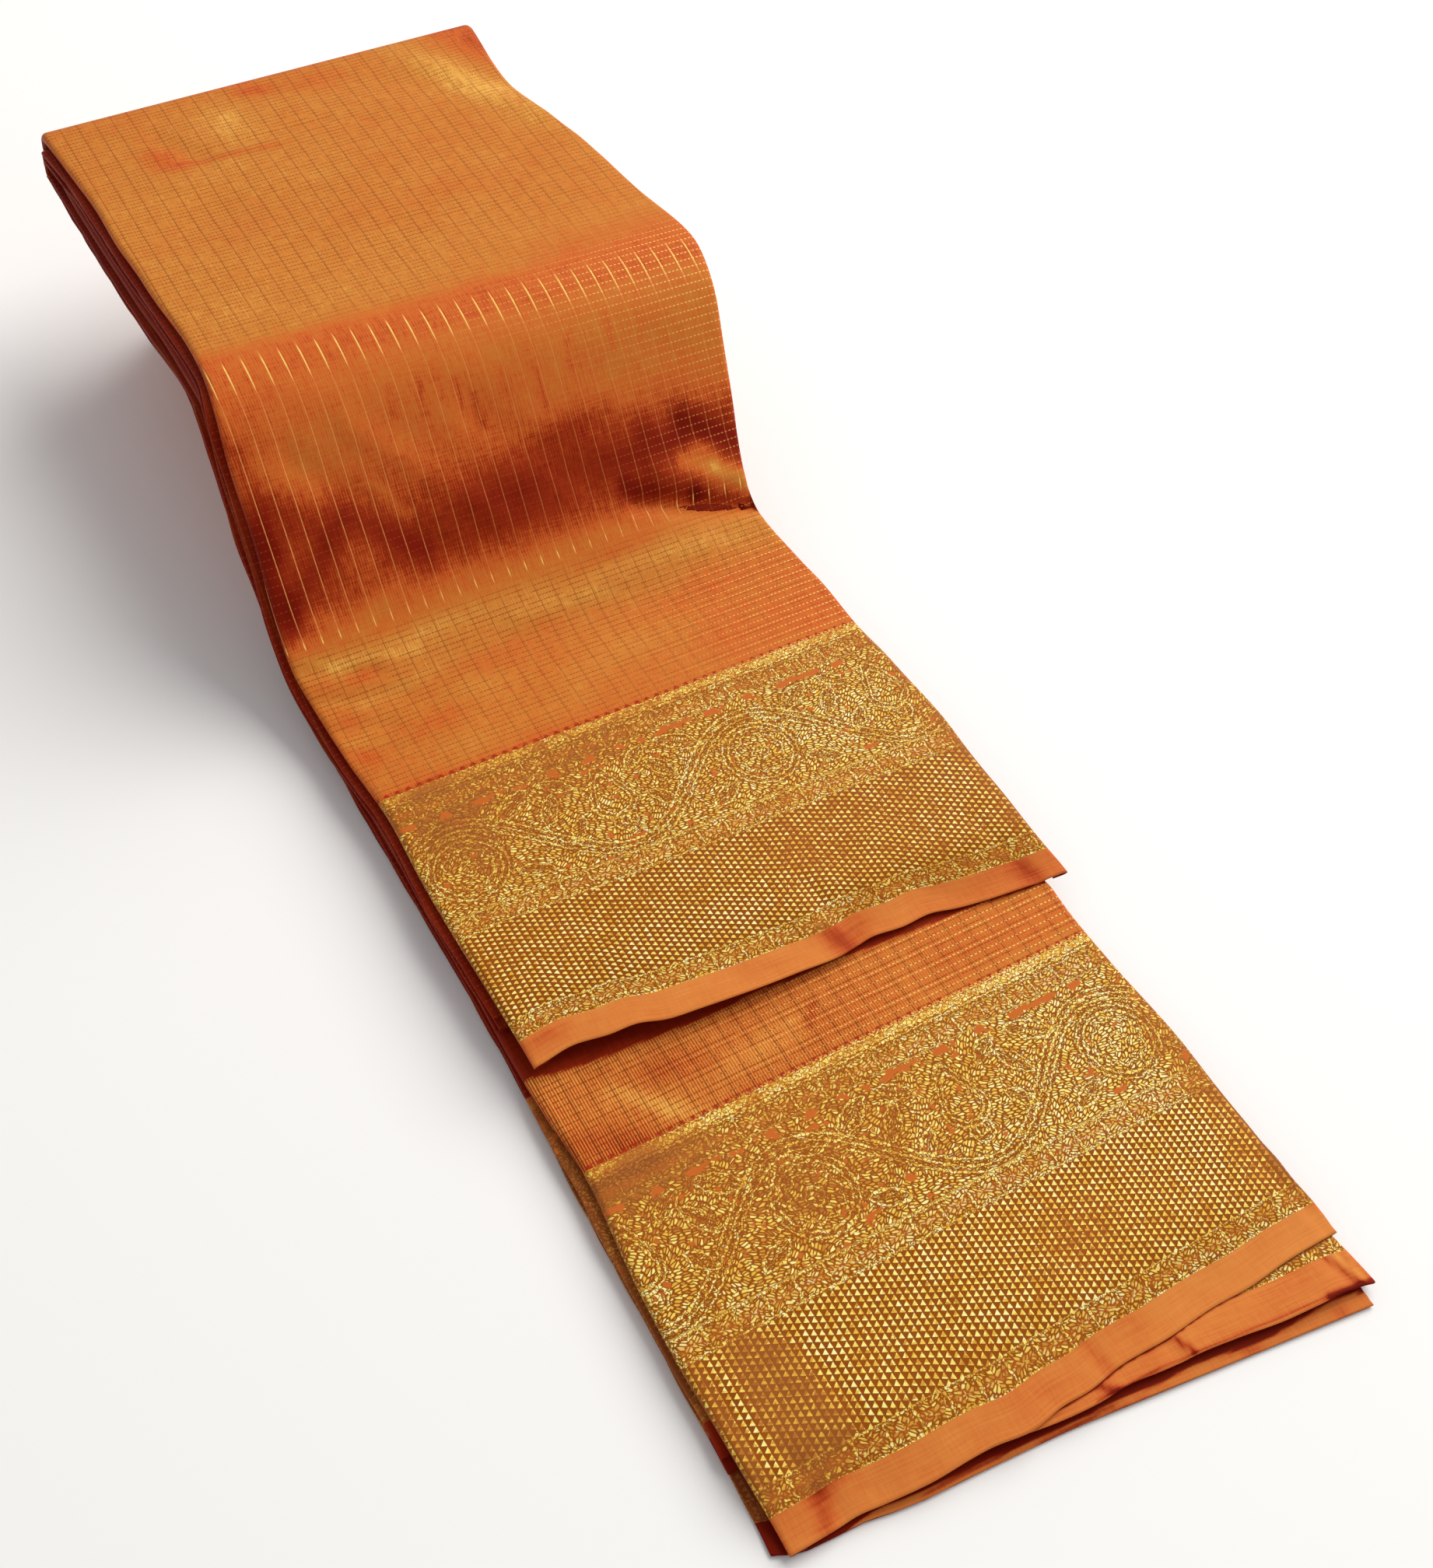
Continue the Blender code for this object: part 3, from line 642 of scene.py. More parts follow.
@dataclass(frozen=True)
class Section:
    """A sheet's cross section: flat on top, with a half-round curl and a short return at either side."""

    share: Array
    aside: Array
    depth: Array
    cloth: Array
    radius: float
    left: bool

    @staticmethod
    def build(depth: float, flat: int, curl: int = 9, back: float = 0.019, left: bool = True) -> "Section":
        """A section from its fold depth: the curl is the half circle (sin a, 1 - cos a) times half of it.

        Args:
            depth: depth of the fold.
            flat: points across the flat.
            curl: points round each curl.
            back: the return under the sheet, as a share of the width.
            left: whether the left side curls, as the right one does.

        Returns:
            The section.
        """
        radius = depth / 2
        angle = np.linspace(0, math.pi, curl)[1:]
        turn = [(math.sin(a) * radius, radius * (1 - math.cos(a)), a * radius) for a in angle]
        half_turn = math.pi * radius
        rows = [(t, 0.0, 0.0, 0.0) for t in np.linspace(0, 1, flat)]
        under = [back * t for t in np.linspace(0, 1, 2 + round(20 * back))[1:]]
        if left:
            side = [(0.0, -dx, down, -run) for dx, down, run in turn]
            side += [(t, 0.0, depth, -half_turn - 2 * t * WIDTH) for t in under]
            rows = side[::-1] + rows
        rows += [(1.0, dx, down, run) for dx, down, run in turn]
        rows += [(1.0 - t, 0.0, depth, half_turn + 2 * t * WIDTH) for t in under]
        share, aside, down, run = np.array(rows).T
        return Section(share, aside, down, run, radius, left)

    def across(self, left: Array, right: Array) -> tuple[Array, Array]:
        """Places across, and cloth coordinates u, for rows with these edges.

        Args:
            left: left fold of each row.
            right: right fold of each row.

        Returns:
            x and u, with a row of the section for each edge pair.
        """
        start = (left + self.radius * self.left)[:, None]
        end = (right - self.radius)[:, None]
        flat = start + (end - start) * self.share
        return flat + self.aside, flat + self.cloth


@dataclass
class Cloth:
    """A grid of cloth points, its cloth coordinates and the looks stored on its points."""

    name: str
    points: Array
    u: Array
    v: Array
    looks: dict[Look, Array]

    def build(self, finishes: Sequence[bpy.types.Material], bands: bool = True) -> bpy.types.Object:
        """Puts the grid into a mesh, with its u and v as its UV map, and gives it a wall inwards.

        Args:
            finishes: the selvedge's, the border's and the body's materials, or one material.
            bands: whether faces take their material from their distance v.

        Returns:
            The finished object.
        """
        rows, columns = self.u.shape
        corner = np.arange((rows - 1) * columns).reshape(rows - 1, columns)[:, :-1].reshape(-1)
        faces = np.stack([corner, corner + 1, corner + columns + 1, corner + columns], axis=-1)
        mesh = bpy.data.meshes.new(self.name)
        mesh.from_pydata((self.points + PLACING).reshape(-1, 3), [], faces)
        mesh.polygons.foreach_set("use_smooth", np.ones(len(faces), bool))
        uv = np.stack([self.u, self.v], axis=-1).reshape(-1, 2)
        layer = mesh.uv_layers.new(name="cloth")
        layer.data.foreach_set("uv", uv[faces.reshape(-1)].astype(np.float32).reshape(-1))
        for look, values in self.looks.items():
            stored = mesh.attributes.new(look.value, "FLOAT", "POINT")
            numbers = np.broadcast_to(values, self.u.shape).astype(np.float32)
            stored.data.foreach_set("value", numbers.reshape(-1))
        for material in finishes:
            mesh.materials.append(material)
        if bands:
            middle = self.v.reshape(-1)[faces].mean(axis=1)
            band = (middle > SELVEDGE_DEPTH).astype(int) + (middle > BORDER_DEPTH)
            mesh.polygons.foreach_set("material_index", band.astype(np.int32))
        mesh.update()
        obj = bpy.data.objects.new(self.name, mesh)
        bpy.context.scene.collection.objects.link(obj)
        solidify = obj.modifiers.new("wall", "SOLIDIFY")
        solidify.thickness = SHELL
        solidify.offset = -1
        solidify.use_quality_normals = True
        return obj


def hand_over(obj: bpy.types.Object, node: str) -> None:
    """Lets a piece ride on the sari's one body and stand for its solid, and logs it.

    Args:
        obj: the piece.
        node: the solid that it stands for.
    """
    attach(obj, "root")
    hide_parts(node)
    size = [round(v, 4) for v in obj.dimensions]
    LOG.info("%s: %s m, %d faces before its wall", obj.name, size, len(obj.data.polygons))


def level_value(rows: Sequence[Level], x: Array, along: Array) -> Array:
    """A tone table read at any place: straight between its rows, and between its three columns.

    Args:
        rows: the table.
        x: places across.
        along: places along.

    Returns:
        The tone at those places.
    """
    sides = (column(rows, side) for side in ("left", "middle", "right"))
    left, middle, right = (np.interp(along, column(rows, "along"), side) for side in sides)
    share = np.clip(x / COLUMN, -1, 1)
    return middle + np.where(share < 0, (middle - left) * share, (right - middle) * share)


def joined(operation: str, swapped: bool = False) -> Callable[["Value", "Number"], "Value"]:
    """A method of Value that adds a math node for this number and another.

    Args:
        operation: what the node does.
        swapped: whether the other number comes first.

    Returns:
        The method.
    """

    def method(self: "Value", other: "Number") -> "Value":
        """Adds the math node."""
        return self.graph.math(operation, *((other, self) if swapped else (self, other)))

    return method


class Value:
    """A number in a material's node graph. The usual signs add math nodes, as least and most do."""

    __add__ = joined("ADD")
    __radd__ = joined("ADD", swapped=True)
    __sub__ = joined("SUBTRACT")
    __rsub__ = joined("SUBTRACT", swapped=True)
    __mul__ = joined("MULTIPLY")
    __rmul__ = joined("MULTIPLY", swapped=True)
    __truediv__ = joined("DIVIDE")
    least = joined("MINIMUM")
    most = joined("MAXIMUM")

    def __init__(self, graph: "Graph", socket: bpy.types.NodeSocket) -> None:
        """Keeps the graph and the socket that gives the number."""
        self.graph = graph
        self.socket = socket

    def __abs__(self) -> "Value":
        """The number without its sign."""
        return self.graph.math("ABSOLUTE", self)

    def above(self, edge: "Number", soft: float) -> "Value":
        """1 well above the edge and 0 well below it, over a soft width."""
        return self.graph.math("MULTIPLY_ADD", self - edge, 1 / soft, 0.5, clamp=True)

    def below(self, edge: "Number", soft: float) -> "Value":
        """1 well below the edge and 0 well above it, over a soft width."""
        return self.graph.math("MULTIPLY_ADD", self - edge, -1 / soft, 0.5, clamp=True)

    def near(self, place: "Number") -> "Value":
        """How far this number is from a place."""
        return abs(self - place)

    def every(self, pitch: float, start: float = 0.0) -> "Value":
        """Distance to the nearest of the places start + n * pitch."""
        return self.graph.math("PINGPONG", self - start, pitch / 2)

    def cell(self, pitch: float, start: float = 0.0) -> "Value":
        """The place in a cell of this pitch, from -pitch / 2 to pitch / 2."""
        return self.graph.math("WRAP", self - start, pitch / 2, -pitch / 2)


Number = Union[Value, float]


class Grain(NamedTuple):
    """One layer of a weave's unevenness: noise with so many features to a millimetre each way."""

    across: float
    along: float
    detail: float
    seed: float
    amount: float


class Graph:
    """A material's node graph, built up from numbers and colours."""

    def __init__(self, name: str) -> None:
        """Starts a material of this name."""
        self.material = bpy.data.materials.new(name)
        self.material.use_nodes = True
        self.tree = self.material.node_tree
        self.shader = self.tree.nodes["Principled BSDF"]

    def node(self, kind: str, **settings: object) -> bpy.types.Node:
        """Adds a node and sets its properties.

        Args:
            kind: the node's type.
            settings: its properties.

        Returns:
            The node.
        """
        made = self.tree.nodes.new(kind)
        for name, setting in settings.items():
            setattr(made, name, setting)
        return made

    def feed(self, socket: bpy.types.NodeSocket, source: object) -> None:
        """Links a value or a socket to an input, or sets the input to a number or colour."""
        if isinstance(source, Value):
            source = source.socket
        if isinstance(source, bpy.types.NodeSocket):
            self.tree.links.new(source, socket)
        else:
            socket.default_value = source

    def math(self, operation: str, *inputs: Number, clamp: bool = False) -> Value:
        """A math node.

        Args:
            operation: what it does.
            inputs: its numbers.
            clamp: whether the result stays from 0 to 1.

        Returns:
            The result.
        """
        made = self.node("ShaderNodeMath", operation=operation, use_clamp=clamp)
        for socket, source in zip(made.inputs, inputs):
            self.feed(socket, source)
        return Value(self, made.outputs[0])

    def attribute(self, look: Look) -> Value:
        """A number stored on the piece's points."""
        return Value(self, self.node("ShaderNodeAttribute", attribute_name=look.value).outputs["Fac"])

    def reach(self, x: Value, y: Value) -> Value:
        """The distance from the middle, sqrt(x^2 + y^2)."""
        return self.math("SQRT", x * x + y * y)

    def cloth(self) -> tuple[Value, Value]:
        """The cloth coordinates u and v, in millimetres."""
        parts = self.node("ShaderNodeSeparateXYZ")
        self.feed(parts.inputs[0], self.node("ShaderNodeUVMap", uv_map="cloth").outputs[0])
        return Value(self, parts.outputs[0]) * MILLIMETRES, Value(self, parts.outputs[1]) * MILLIMETRES

    def vector(self, x: Number, y: Number, z: Number = 0.0) -> bpy.types.NodeSocket:
        """A vector from three numbers."""
        made = self.node("ShaderNodeCombineXYZ")
        for socket, source in zip(made.inputs, (x, y, z)):
            self.feed(socket, source)
        return made.outputs[0]

    def noise(self, x: Number, y: Number, detail: float = 2.0, seed: float = 0.0) -> Value:
        """Soft noise from 0 to 1 with features about one unit wide.

        Args:
            x: first coordinate.
            y: second coordinate.
            detail: how much finer noise is added.
            seed: moves to another part of the field.

        Returns:
            The noise.
        """
        made = self.node("ShaderNodeTexNoise", noise_dimensions="3D")
        self.feed(made.inputs["Vector"], self.vector(x, y, seed))
        made.inputs["Scale"].default_value = 1.0
        made.inputs["Detail"].default_value = detail
        return Value(self, made.outputs["Fac"])

    def uneven(self, u: Value, v: Value, grains: Sequence[Grain]) -> Value:
        """The sum of some layers of unevenness."""
        layers = [(self.noise(u * g.across, v * g.along, g.detail, g.seed) - 0.5) * g.amount for g in grains]
        return sum(layers[1:], layers[0])

    def cells(self, x: Number, y: Number, feature: str = "F1") -> bpy.types.Node:
        """Random cells about one unit wide, as a Voronoi node.

        Args:
            x: first coordinate.
            y: second coordinate.
            feature: what the node gives: the distance to the cell's middle, or to its edge.

        Returns:
            The node.
        """
        made = self.node("ShaderNodeTexVoronoi", voronoi_dimensions="2D", feature=feature)
        self.feed(made.inputs["Vector"], self.vector(x, y))
        made.inputs["Scale"].default_value = 1.0
        return made

    def part(self, colour: bpy.types.NodeSocket, channel: int) -> Value:
        """One channel of a colour."""
        parts = self.node("ShaderNodeSeparateColor")
        self.feed(parts.inputs[0], colour)
        return Value(self, parts.outputs[channel])

    def mix(self, share: Number, first: object, second: object) -> bpy.types.NodeSocket:
        """A colour between two colours.

        Args:
            share: 0 for the first, 1 for the second.
            first: a colour or its socket.
            second: a colour or its socket.

        Returns:
            The mixed colour.
        """
        made = self.node("ShaderNodeMix", data_type="RGBA")
        for index, source in ((0, share), (6, first), (7, second)):
            self.feed(made.inputs[index], source)
        return made.outputs[2]

    def ramp(self, value: Value, low: float, high: float, colours: Sequence[Colour]) -> bpy.types.NodeSocket:
        """A colour read from evenly spaced colours, the first at low and the last at high.

        Args:
            value: the number to read at.
            low: where the first colour is.
            high: where the last colour is.
            colours: display colours from 0 to 255.

        Returns:
            The colour.
        """
        made = self.node("ShaderNodeValToRGB")
        self.feed(made.inputs[0], (value - low) / (high - low))
        steps = made.color_ramp.elements
        for index, colour in enumerate(colours):
            place = index / (len(colours) - 1)
            step = steps[0] if index == 0 else steps.new(place) if index < len(colours) - 1 else steps[-1]
            step.position = place
            step.color = linear(colour)
        return made.outputs[0]

    def finish(
        self, colour: bpy.types.NodeSocket, roughness: float, specular: float, tint: Colour = (255, 255, 255)
    ) -> bpy.types.Material:
        """Sets the shader's colour and its constant values.

        Args:
            colour: the base colour.
            roughness: how matt it is.
            specular: how much it reflects.
            tint: the colour of its reflections.

        Returns:
            The material.
        """
        self.feed(self.shader.inputs["Base Color"], colour)
        self.shader.inputs["Specular Tint"].default_value = linear(tint)
        self.shader.inputs["Roughness"].default_value = roughness
        self.shader.inputs["Specular IOR Level"].default_value = specular
        return self.material


def linear(colour: Colour) -> tuple[float, float, float, float]:
    """A display colour from 0 to 255 as linear light: ((c + 0.055) / 1.055)^2.4, or c / 12.92 near black."""
    parts = [c / 255 for c in colour]
    return (*[c / 12.92 if c < 0.04045 else ((c + 0.055) / 1.055) ** 2.4 for c in parts], 1.0)


@dataclass(frozen=True)
class Silk:
    """Plain woven silk: its colours from painted deep shade to painted sheen, uneven by layers of noise,
    less so in painted shade.
    """

    name: str
    tones: tuple[Colour, ...]
    grains: tuple[Grain, ...]
    roughness: float = 0.55
    specular: float = 0.16

    def woven(self, graph: Graph, u: Value, v: Value, rib: Number = 0.0) -> bpy.types.NodeSocket:
        """The silk's colour, with the painted shade and sheen of its stored tone.

        Args:
            graph: the material's graph.
            u: place across, in millimetres.
            v: place from the selvedge's edge, in millimetres.
            rib: added to the unevenness.

        Returns:
            The colour.
        """
        level = graph.attribute(Look.TONE)
        uneven = graph.uneven(u, v, self.grains) + rib
        # The stored tone picks the colour, painted shade and sheen included; noise is damped in the painted
        # shade
        return graph.ramp(level + uneven * (0.15 + 0.85 * level.above(-0.7, 0.5)), -1.5, 1.5, self.tones)

    def build(self) -> bpy.types.Material:
        """Makes the material."""
        graph = Graph(self.name)
        return graph.finish(self.woven(graph, *graph.cloth()), self.roughness, self.specular, GOLD_TINT)


@dataclass(frozen=True)
class CheckedSilk(Silk):
    """Shot silk with a small check of threads, painted gold where they glint and dark where they don't, red
    teeth along the border, and short dashes.

    The pitches, widths and lengths are in millimetres.
    """

    line_pitch: float = 7.35
    line_half: float = 0.17
    cross_pitch: float = 3.47
    cross_half: float = 0.24
    cross_dash: float = 1.84
    rib_pitch: float = 1.05
    tooth_pitch: float = 4.4
    tooth_height: float = 1.7
    tooth: Colour = (168, 42, 18)
    dash_pitch: float = 2.35
    dash_half: float = 0.26
    dash_length: float = 1.47
    dash: Colour = (132, 52, 16)
    # The threads' colours, from dark brown to painted gold glints
    threads: tuple[Colour, ...] = ((92, 40, 10), (190, 100, 50), (250, 178, 100), (255, 226, 120))

    def build(self) -> bpy.types.Material:
        """Makes the material."""
        graph = Graph(self.name)
        u, v = graph.cloth()
        warp = graph.attribute(Look.WARP)
        rib = graph.math("SINE", u * (2 * math.pi / self.rib_pitch)) * graph.attribute(Look.RIB)
        colour = self.woven(graph, u, v, rib)
        teeth = (v - BORDER_DEPTH * MILLIMETRES + u.every(self.tooth_pitch)).below(self.tooth_height, 0.5)
        teeth = teeth * graph.noise(u * 0.1, v * 0.1, 1.0, 31.0).above(0.3, 0.2)
        colour = graph.mix(teeth, colour, linear(self.tooth))
        dash = v.every(self.dash_pitch).below(self.dash_half, 0.2)
        dash = dash * u.every(self.dash_length).above(0.20, 0.2)
        dash = dash * graph.noise(u * 0.16, v * 0.22, 2.0, 41.0).above(0.44, 0.16)
        dash = dash * (0.0 - warp).most(0.0).least(1.0)
        colour = graph.mix(dash * 0.9, colour, linear(self.dash))
        faint = graph.noise(u * 0.35, v * 0.35, 1.0, 3.0)
        cross = v.every(self.cross_pitch).below(self.cross_half, 0.14)
        cross = cross * u.every(self.cross_dash).below(0.50, 0.12)
        # Painted glint streaks: where the along-lines glint most they are drawn wider
        line = u.every(self.line_pitch).below(self.line_half + 0.16 * (warp - 0.8).most(0.0), 0.14)
        colour = self.threaded(graph, colour, cross, graph.attribute(Look.WEFT), faint)
        colour = self.threaded(graph, colour, line, warp, faint)
        return graph.finish(colour, self.roughness, self.specular, GOLD_TINT)

    def threaded(
        self, graph: Graph, under: bpy.types.NodeSocket, where: Value, light: Value, patchy: Value
    ) -> bpy.types.NodeSocket:
        """Lays threads on the silk, dark, or light with a painted glint.

        Args:
            graph: the material's graph.
            under: the silk's colour.
            where: 1 on a thread.
            light: -1 for a dark thread, 1 for a light thread with a painted gold glint.
            patchy: noise that makes some stretches fainter.

        Returns:
            The colour with its threads.
        """
        share = where * abs(light).least(1.0) * (patchy + 0.42).least(1.0)
        return graph.mix(share, under, graph.ramp(light, -1.0, 1.6, self.threads))


# Colours from painted deep shade through orange red and tan gold to a painted yellow sheen
BODY_SILK = CheckedSilk(
    "silk_body",
    (
        (104, 8, 5), (130, 22, 10), (168, 55, 21), (211, 98, 41), (208, 120, 48), (213, 138, 58),
        (238, 176, 82),
    ),
    (
        Grain(0.9, 0.10, 4.0, 0.0, 1.0), Grain(0.12, 1.3, 4.0, 5.0, 0.9), Grain(0.045, 0.045, 3.0, 9.0, 0.6),
        Grain(1.9, 0.3, 1.0, 21.0, 0.7),
    ),
)
# Colours from painted deep shade to a painted sheen
SELVEDGE_SILK = Silk(
    "selvedge_silk",
    (
        (108, 10, 6), (138, 28, 13), (182, 72, 32), (210, 106, 50), (220, 128, 60), (228, 142, 70),
        (238, 164, 82),
    ),
    (Grain(1.2, 0.16, 4.0, 0.0, 0.7), Grain(0.06, 1.5, 4.0, 5.0, 1.0), Grain(0.06, 0.06, 2.0, 9.0, 0.9)),
)


class Band(NamedTuple):
    """A band of the border, in millimetres from the selvedge's edge."""

    start: float
    end: float

    def holds(self, v: Value) -> Value:
        """1 inside the band and 0 outside."""
        return v.above(self.start, 0.4) * v.below(self.end, 0.4)


class Leaf(NamedTuple):
    """A leaf of the vine: its middle, its turn in degrees, and half its length and width."""

    at: float
    level: float
    turn: float
    long: float
    wide: float


class Bare(NamedTuple):
    """Broken bare patches along the vine: their level, half their height, and the noise that breaks them."""

    level: float
    half: float
    noise: float
    soft: float


# The border, in millimetres from the selvedge's edge: its bands, its rows of flowered cells, its rosettes
LATTICE = Band(20.3, 62.3)
VINE = Band(72.0, 120.5)
ROW_MIDDLES = (16.0, 67.2, 124.5)
ROW_CHANGES = (40.0, 100.0)
ROSETTE_START = 128.6
ROSETTE_MIDDLE = 132.6
ROSETTE_LINES = (130.2, 134.6)
ROSETTE_GROUND = 131.0
# The rows' half height and their dividers', the pitch of their dots and of the rosettes, a rosette's ring
ROW_HALF = 4.2
DIVIDER_HALF = 3.4
DOT_PITCH = 1.5
ROSETTE_PITCH = 2.8
ROSETTE_RING = 1.15
# The vine's middle line and its swing, and the middles of its medallions, buds and small flowers
VINE_MIDDLE = 93.0
VINE_SWING = 19.0
MEDALLION = 92.0
BUD = 97.0
FLOWER = 86.0
# Half the vine's width, and the radii of a medallion's rings, a bud's drops and a small flower's rings
VINE_HALF = 2.5
MEDALLION_RINGS = (14.9, 12.6)
BUD_DROPS = (8.8, 6.6)
FLOWER_RINGS = (4.4, 1.8)
# A medallion's petals and its heart: their least radius, how far they swell, and half their number
PETALS = (8.2, 1.5, 5.0)
HEART = (2.6, 0.9, 2.5)
LEAVES = (
    Leaf(26.0, 111.0, 32.0, 9.5, 3.6),
    Leaf(38.0, 103.0, 58.0, 8.0, 3.0),
    Leaf(22.0, 80.0, -25.0, 7.5, 3.0),
    Leaf(45.0, 112.0, -35.0, 7.0, 2.8),
    Leaf(44.0, 90.0, 50.0, 6.5, 2.6),
)
BARE_PATCHES = (Bare(118.2, 1.5, 0.53, 0.04), Bare(115.5, 3.6, 0.62, 0.03), Bare(76.0, 2.6, 0.64, 0.03))
# A distance that counts as far from any drawn line
NOWHERE = 60.0


@dataclass(frozen=True)
class ZariBorder:
    """The gold border, by formula: rows of flowered cells, a lattice of triangles, a wavy vine, rosettes."""

    name: str
    repeat: float
    first_medallion: float
    bar_top: float
    cell: float = 11.2
    stitch_length: float = 2.7
    stitch_width: float = 1.08
    bar_across: float = 2.4
    bar_along: float = 2.3
    # The gold's colours from dull, in painted shade, to painted highlights; the ground's at the same tones
    tones: tuple[Colour, ...] = (
        (158, 74, 38), (164, 98, 47), (192, 124, 52), (238, 190, 72), (255, 236, 122), (255, 250, 176),
    )
    grounds: tuple[Colour, ...] = (
        (142, 56, 30), (142, 76, 36), (156, 88, 36), (154, 80, 26), (144, 74, 16), (138, 68, 12),
    )
    silk: Colour = (208, 106, 44)
    shine: Colour = (255, 176, 70)

    def build(self) -> bpy.types.Material:
        """Makes the material.

        Stitches fill the motifs' ground, and drawn lines run over them in beads. The lattice's triangles are
        gold. The gold's brightness is the cloth's tone, which holds painted shade and painted highlights, a
        cloud, and painted glints: a random share for each stitch, livelier where the tone is lighter.

        Returns:
            The material.
        """
        graph = Graph(self.name)
        u, v = graph.cloth()
        in_vine, in_lattice = VINE.holds(v), LATTICE.holds(v)
        grain, sparkle = self.grains(graph, u, v, in_vine)
        bent_u = u + (graph.noise(u * 0.6, v * 0.6, 1.0, 11.0) - 0.5) * 3.0
        bent_v = v + (graph.noise(u * 0.6, v * 0.6, 1.0, 15.0) - 0.5) * 3.0
        line, fill = self.rows(bent_u, bent_v)
        vine, bare = self.vine_band(graph, bent_u, bent_v)
        line = line * (1.0 - in_vine) + NOWHERE * in_vine
        curve = line.least(vine + (1.0 - in_vine) * NOWHERE)
        drawn = curve.below(0.42, 0.3)
        gap = curve.below(1.0, 0.4)
        patches = graph.noise(u * 0.19, v * 0.19, 1.0, 4.0).above(0.33, 0.05)
        fill = fill * (1.0 - in_vine) + in_vine * patches * (1.0 - bare)
        bead = Value(graph, graph.cells(u * 0.62, v * 0.62, "DISTANCE_TO_EDGE").outputs["Distance"])
        beads = 0.10 + 0.90 * bead.above(0.09, 0.08)
        woven = (grain * fill * (1.0 - gap)).most(drawn * beads)
        woven = woven * (1.0 - in_lattice) + self.triangles(graph, u, v) * in_lattice
        # Painted light and shade on the gold: the stored tone, and painted glints from each stitch's share,
        # livelier in the painted light
        tone = graph.attribute(Look.TONE)
        cloud = (graph.noise(u * 0.07, v * 0.07, 2.0, 7.0) - 0.5) * 1.1
        lively = 0.28 + tone.above(-0.45, 0.5) * 1.12
        bright = tone * 0.8 + cloud + (sparkle - 0.5) * lively + drawn * 0.15
        gold = graph.ramp(bright, -1.55, 1.2, self.tones)
        ground = graph.ramp(tone, -1.55, 1.2, self.grounds)
        open_ground = (1.0 - fill) * (1.0 - in_lattice) * (1.0 - gap * 0.6) * 0.85
        ground = graph.mix(open_ground, ground, linear(self.silk))
        return graph.finish(graph.mix(woven, ground, gold), 0.42, 0.18, self.shine)

    def grains(self, graph: Graph, u: Value, v: Value, in_vine: Value) -> tuple[Value, Value]:
        """Short gold stitches: stretched random cells, turned by a random angle in each larger cell.

        In the rows they also lean one way or the other in the quarters of each flowered cell.

        Args:
            graph: the material's graph.
            u: place across, in millimetres.
            v: place from the selvedge's edge, in millimetres.
            in_vine: 1 in the vine band.

        Returns:
            1 on a stitch and 0 between, and a random number for each stitch, which paints its glint.
        """
        patch = graph.cells(u * 0.17, v * 0.20)
        turn = (graph.part(patch.outputs["Color"], 0) - 0.5) * (0.5 + in_vine * 1.7)
        quarter = (u.cell(self.cell) * (v - self.row_middle(v))).above(0.0, 0.01) - 0.5
        turn = turn + quarter * (1.0 - in_vine) * 1.1
        cosine = graph.math("COSINE", turn)
        sine = graph.math("SINE", turn)
        along = (u * cosine + v * sine) * (1 / self.stitch_length)
        aside = (v * cosine - u * sine) * (1 / self.stitch_width)
        edge = graph.cells(along, aside, "DISTANCE_TO_EDGE")
        stitch = graph.cells(along, aside)
        for node in (edge, stitch):
            node.inputs["Randomness"].default_value = 0.72
        distance = Value(graph, edge.outputs["Distance"])
        return distance.above(0.19, 0.12), graph.part(stitch.outputs["Color"], 1)

    def rows(self, u: Value, v: Value) -> tuple[Value, Value]:
        """The three rows of flowered cells and the row of rosettes along the top.

        A cell is two dividers, with dots along its top and its bottom. A rosette is a ring round a dot.

        Args:
            u: place across, in millimetres.
            v: place from the selvedge's edge, in millimetres.

        Returns:
            The distance to the nearest drawn line, and 1 where stitches fill the ground.
        """
        w = abs(v - self.row_middle(v))
        divider = u.every(self.cell, self.cell / 2) + w.above(DIVIDER_HALF, 0.3) * 4.0
        side = w.near(ROW_HALF) + u.cell(DOT_PITCH).above(0.42, 0.2) * 3.0
        rosette = u.graph.reach(u.cell(ROSETTE_PITCH), v - ROSETTE_MIDDLE)
        low_line, high_line = ROSETTE_LINES
        ring = rosette.near(ROSETTE_RING).least(rosette)
        row = ring.least(v.near(low_line)).least(v.near(high_line) * 1.6)
        top = v.above(ROSETTE_START, 0.2)
        line = divider.least(side) * (1.0 - top) + row * top
        return line, (0.92 - 0.3 * w.below(1.4, 1.0)) * (1.0 - top * v.above(ROSETTE_GROUND, 0.3))

    @staticmethod
    def row_middle(v: Value) -> Value:
        """The middle of the row of flowered cells at this place from the selvedge's edge."""
        middle = v * 0.0 + ROW_MIDDLES[0]
        for low, high, change in zip(ROW_MIDDLES, ROW_MIDDLES[1:], ROW_CHANGES):
            middle = middle + (high - low) * v.above(change, 0.1)
        return middle

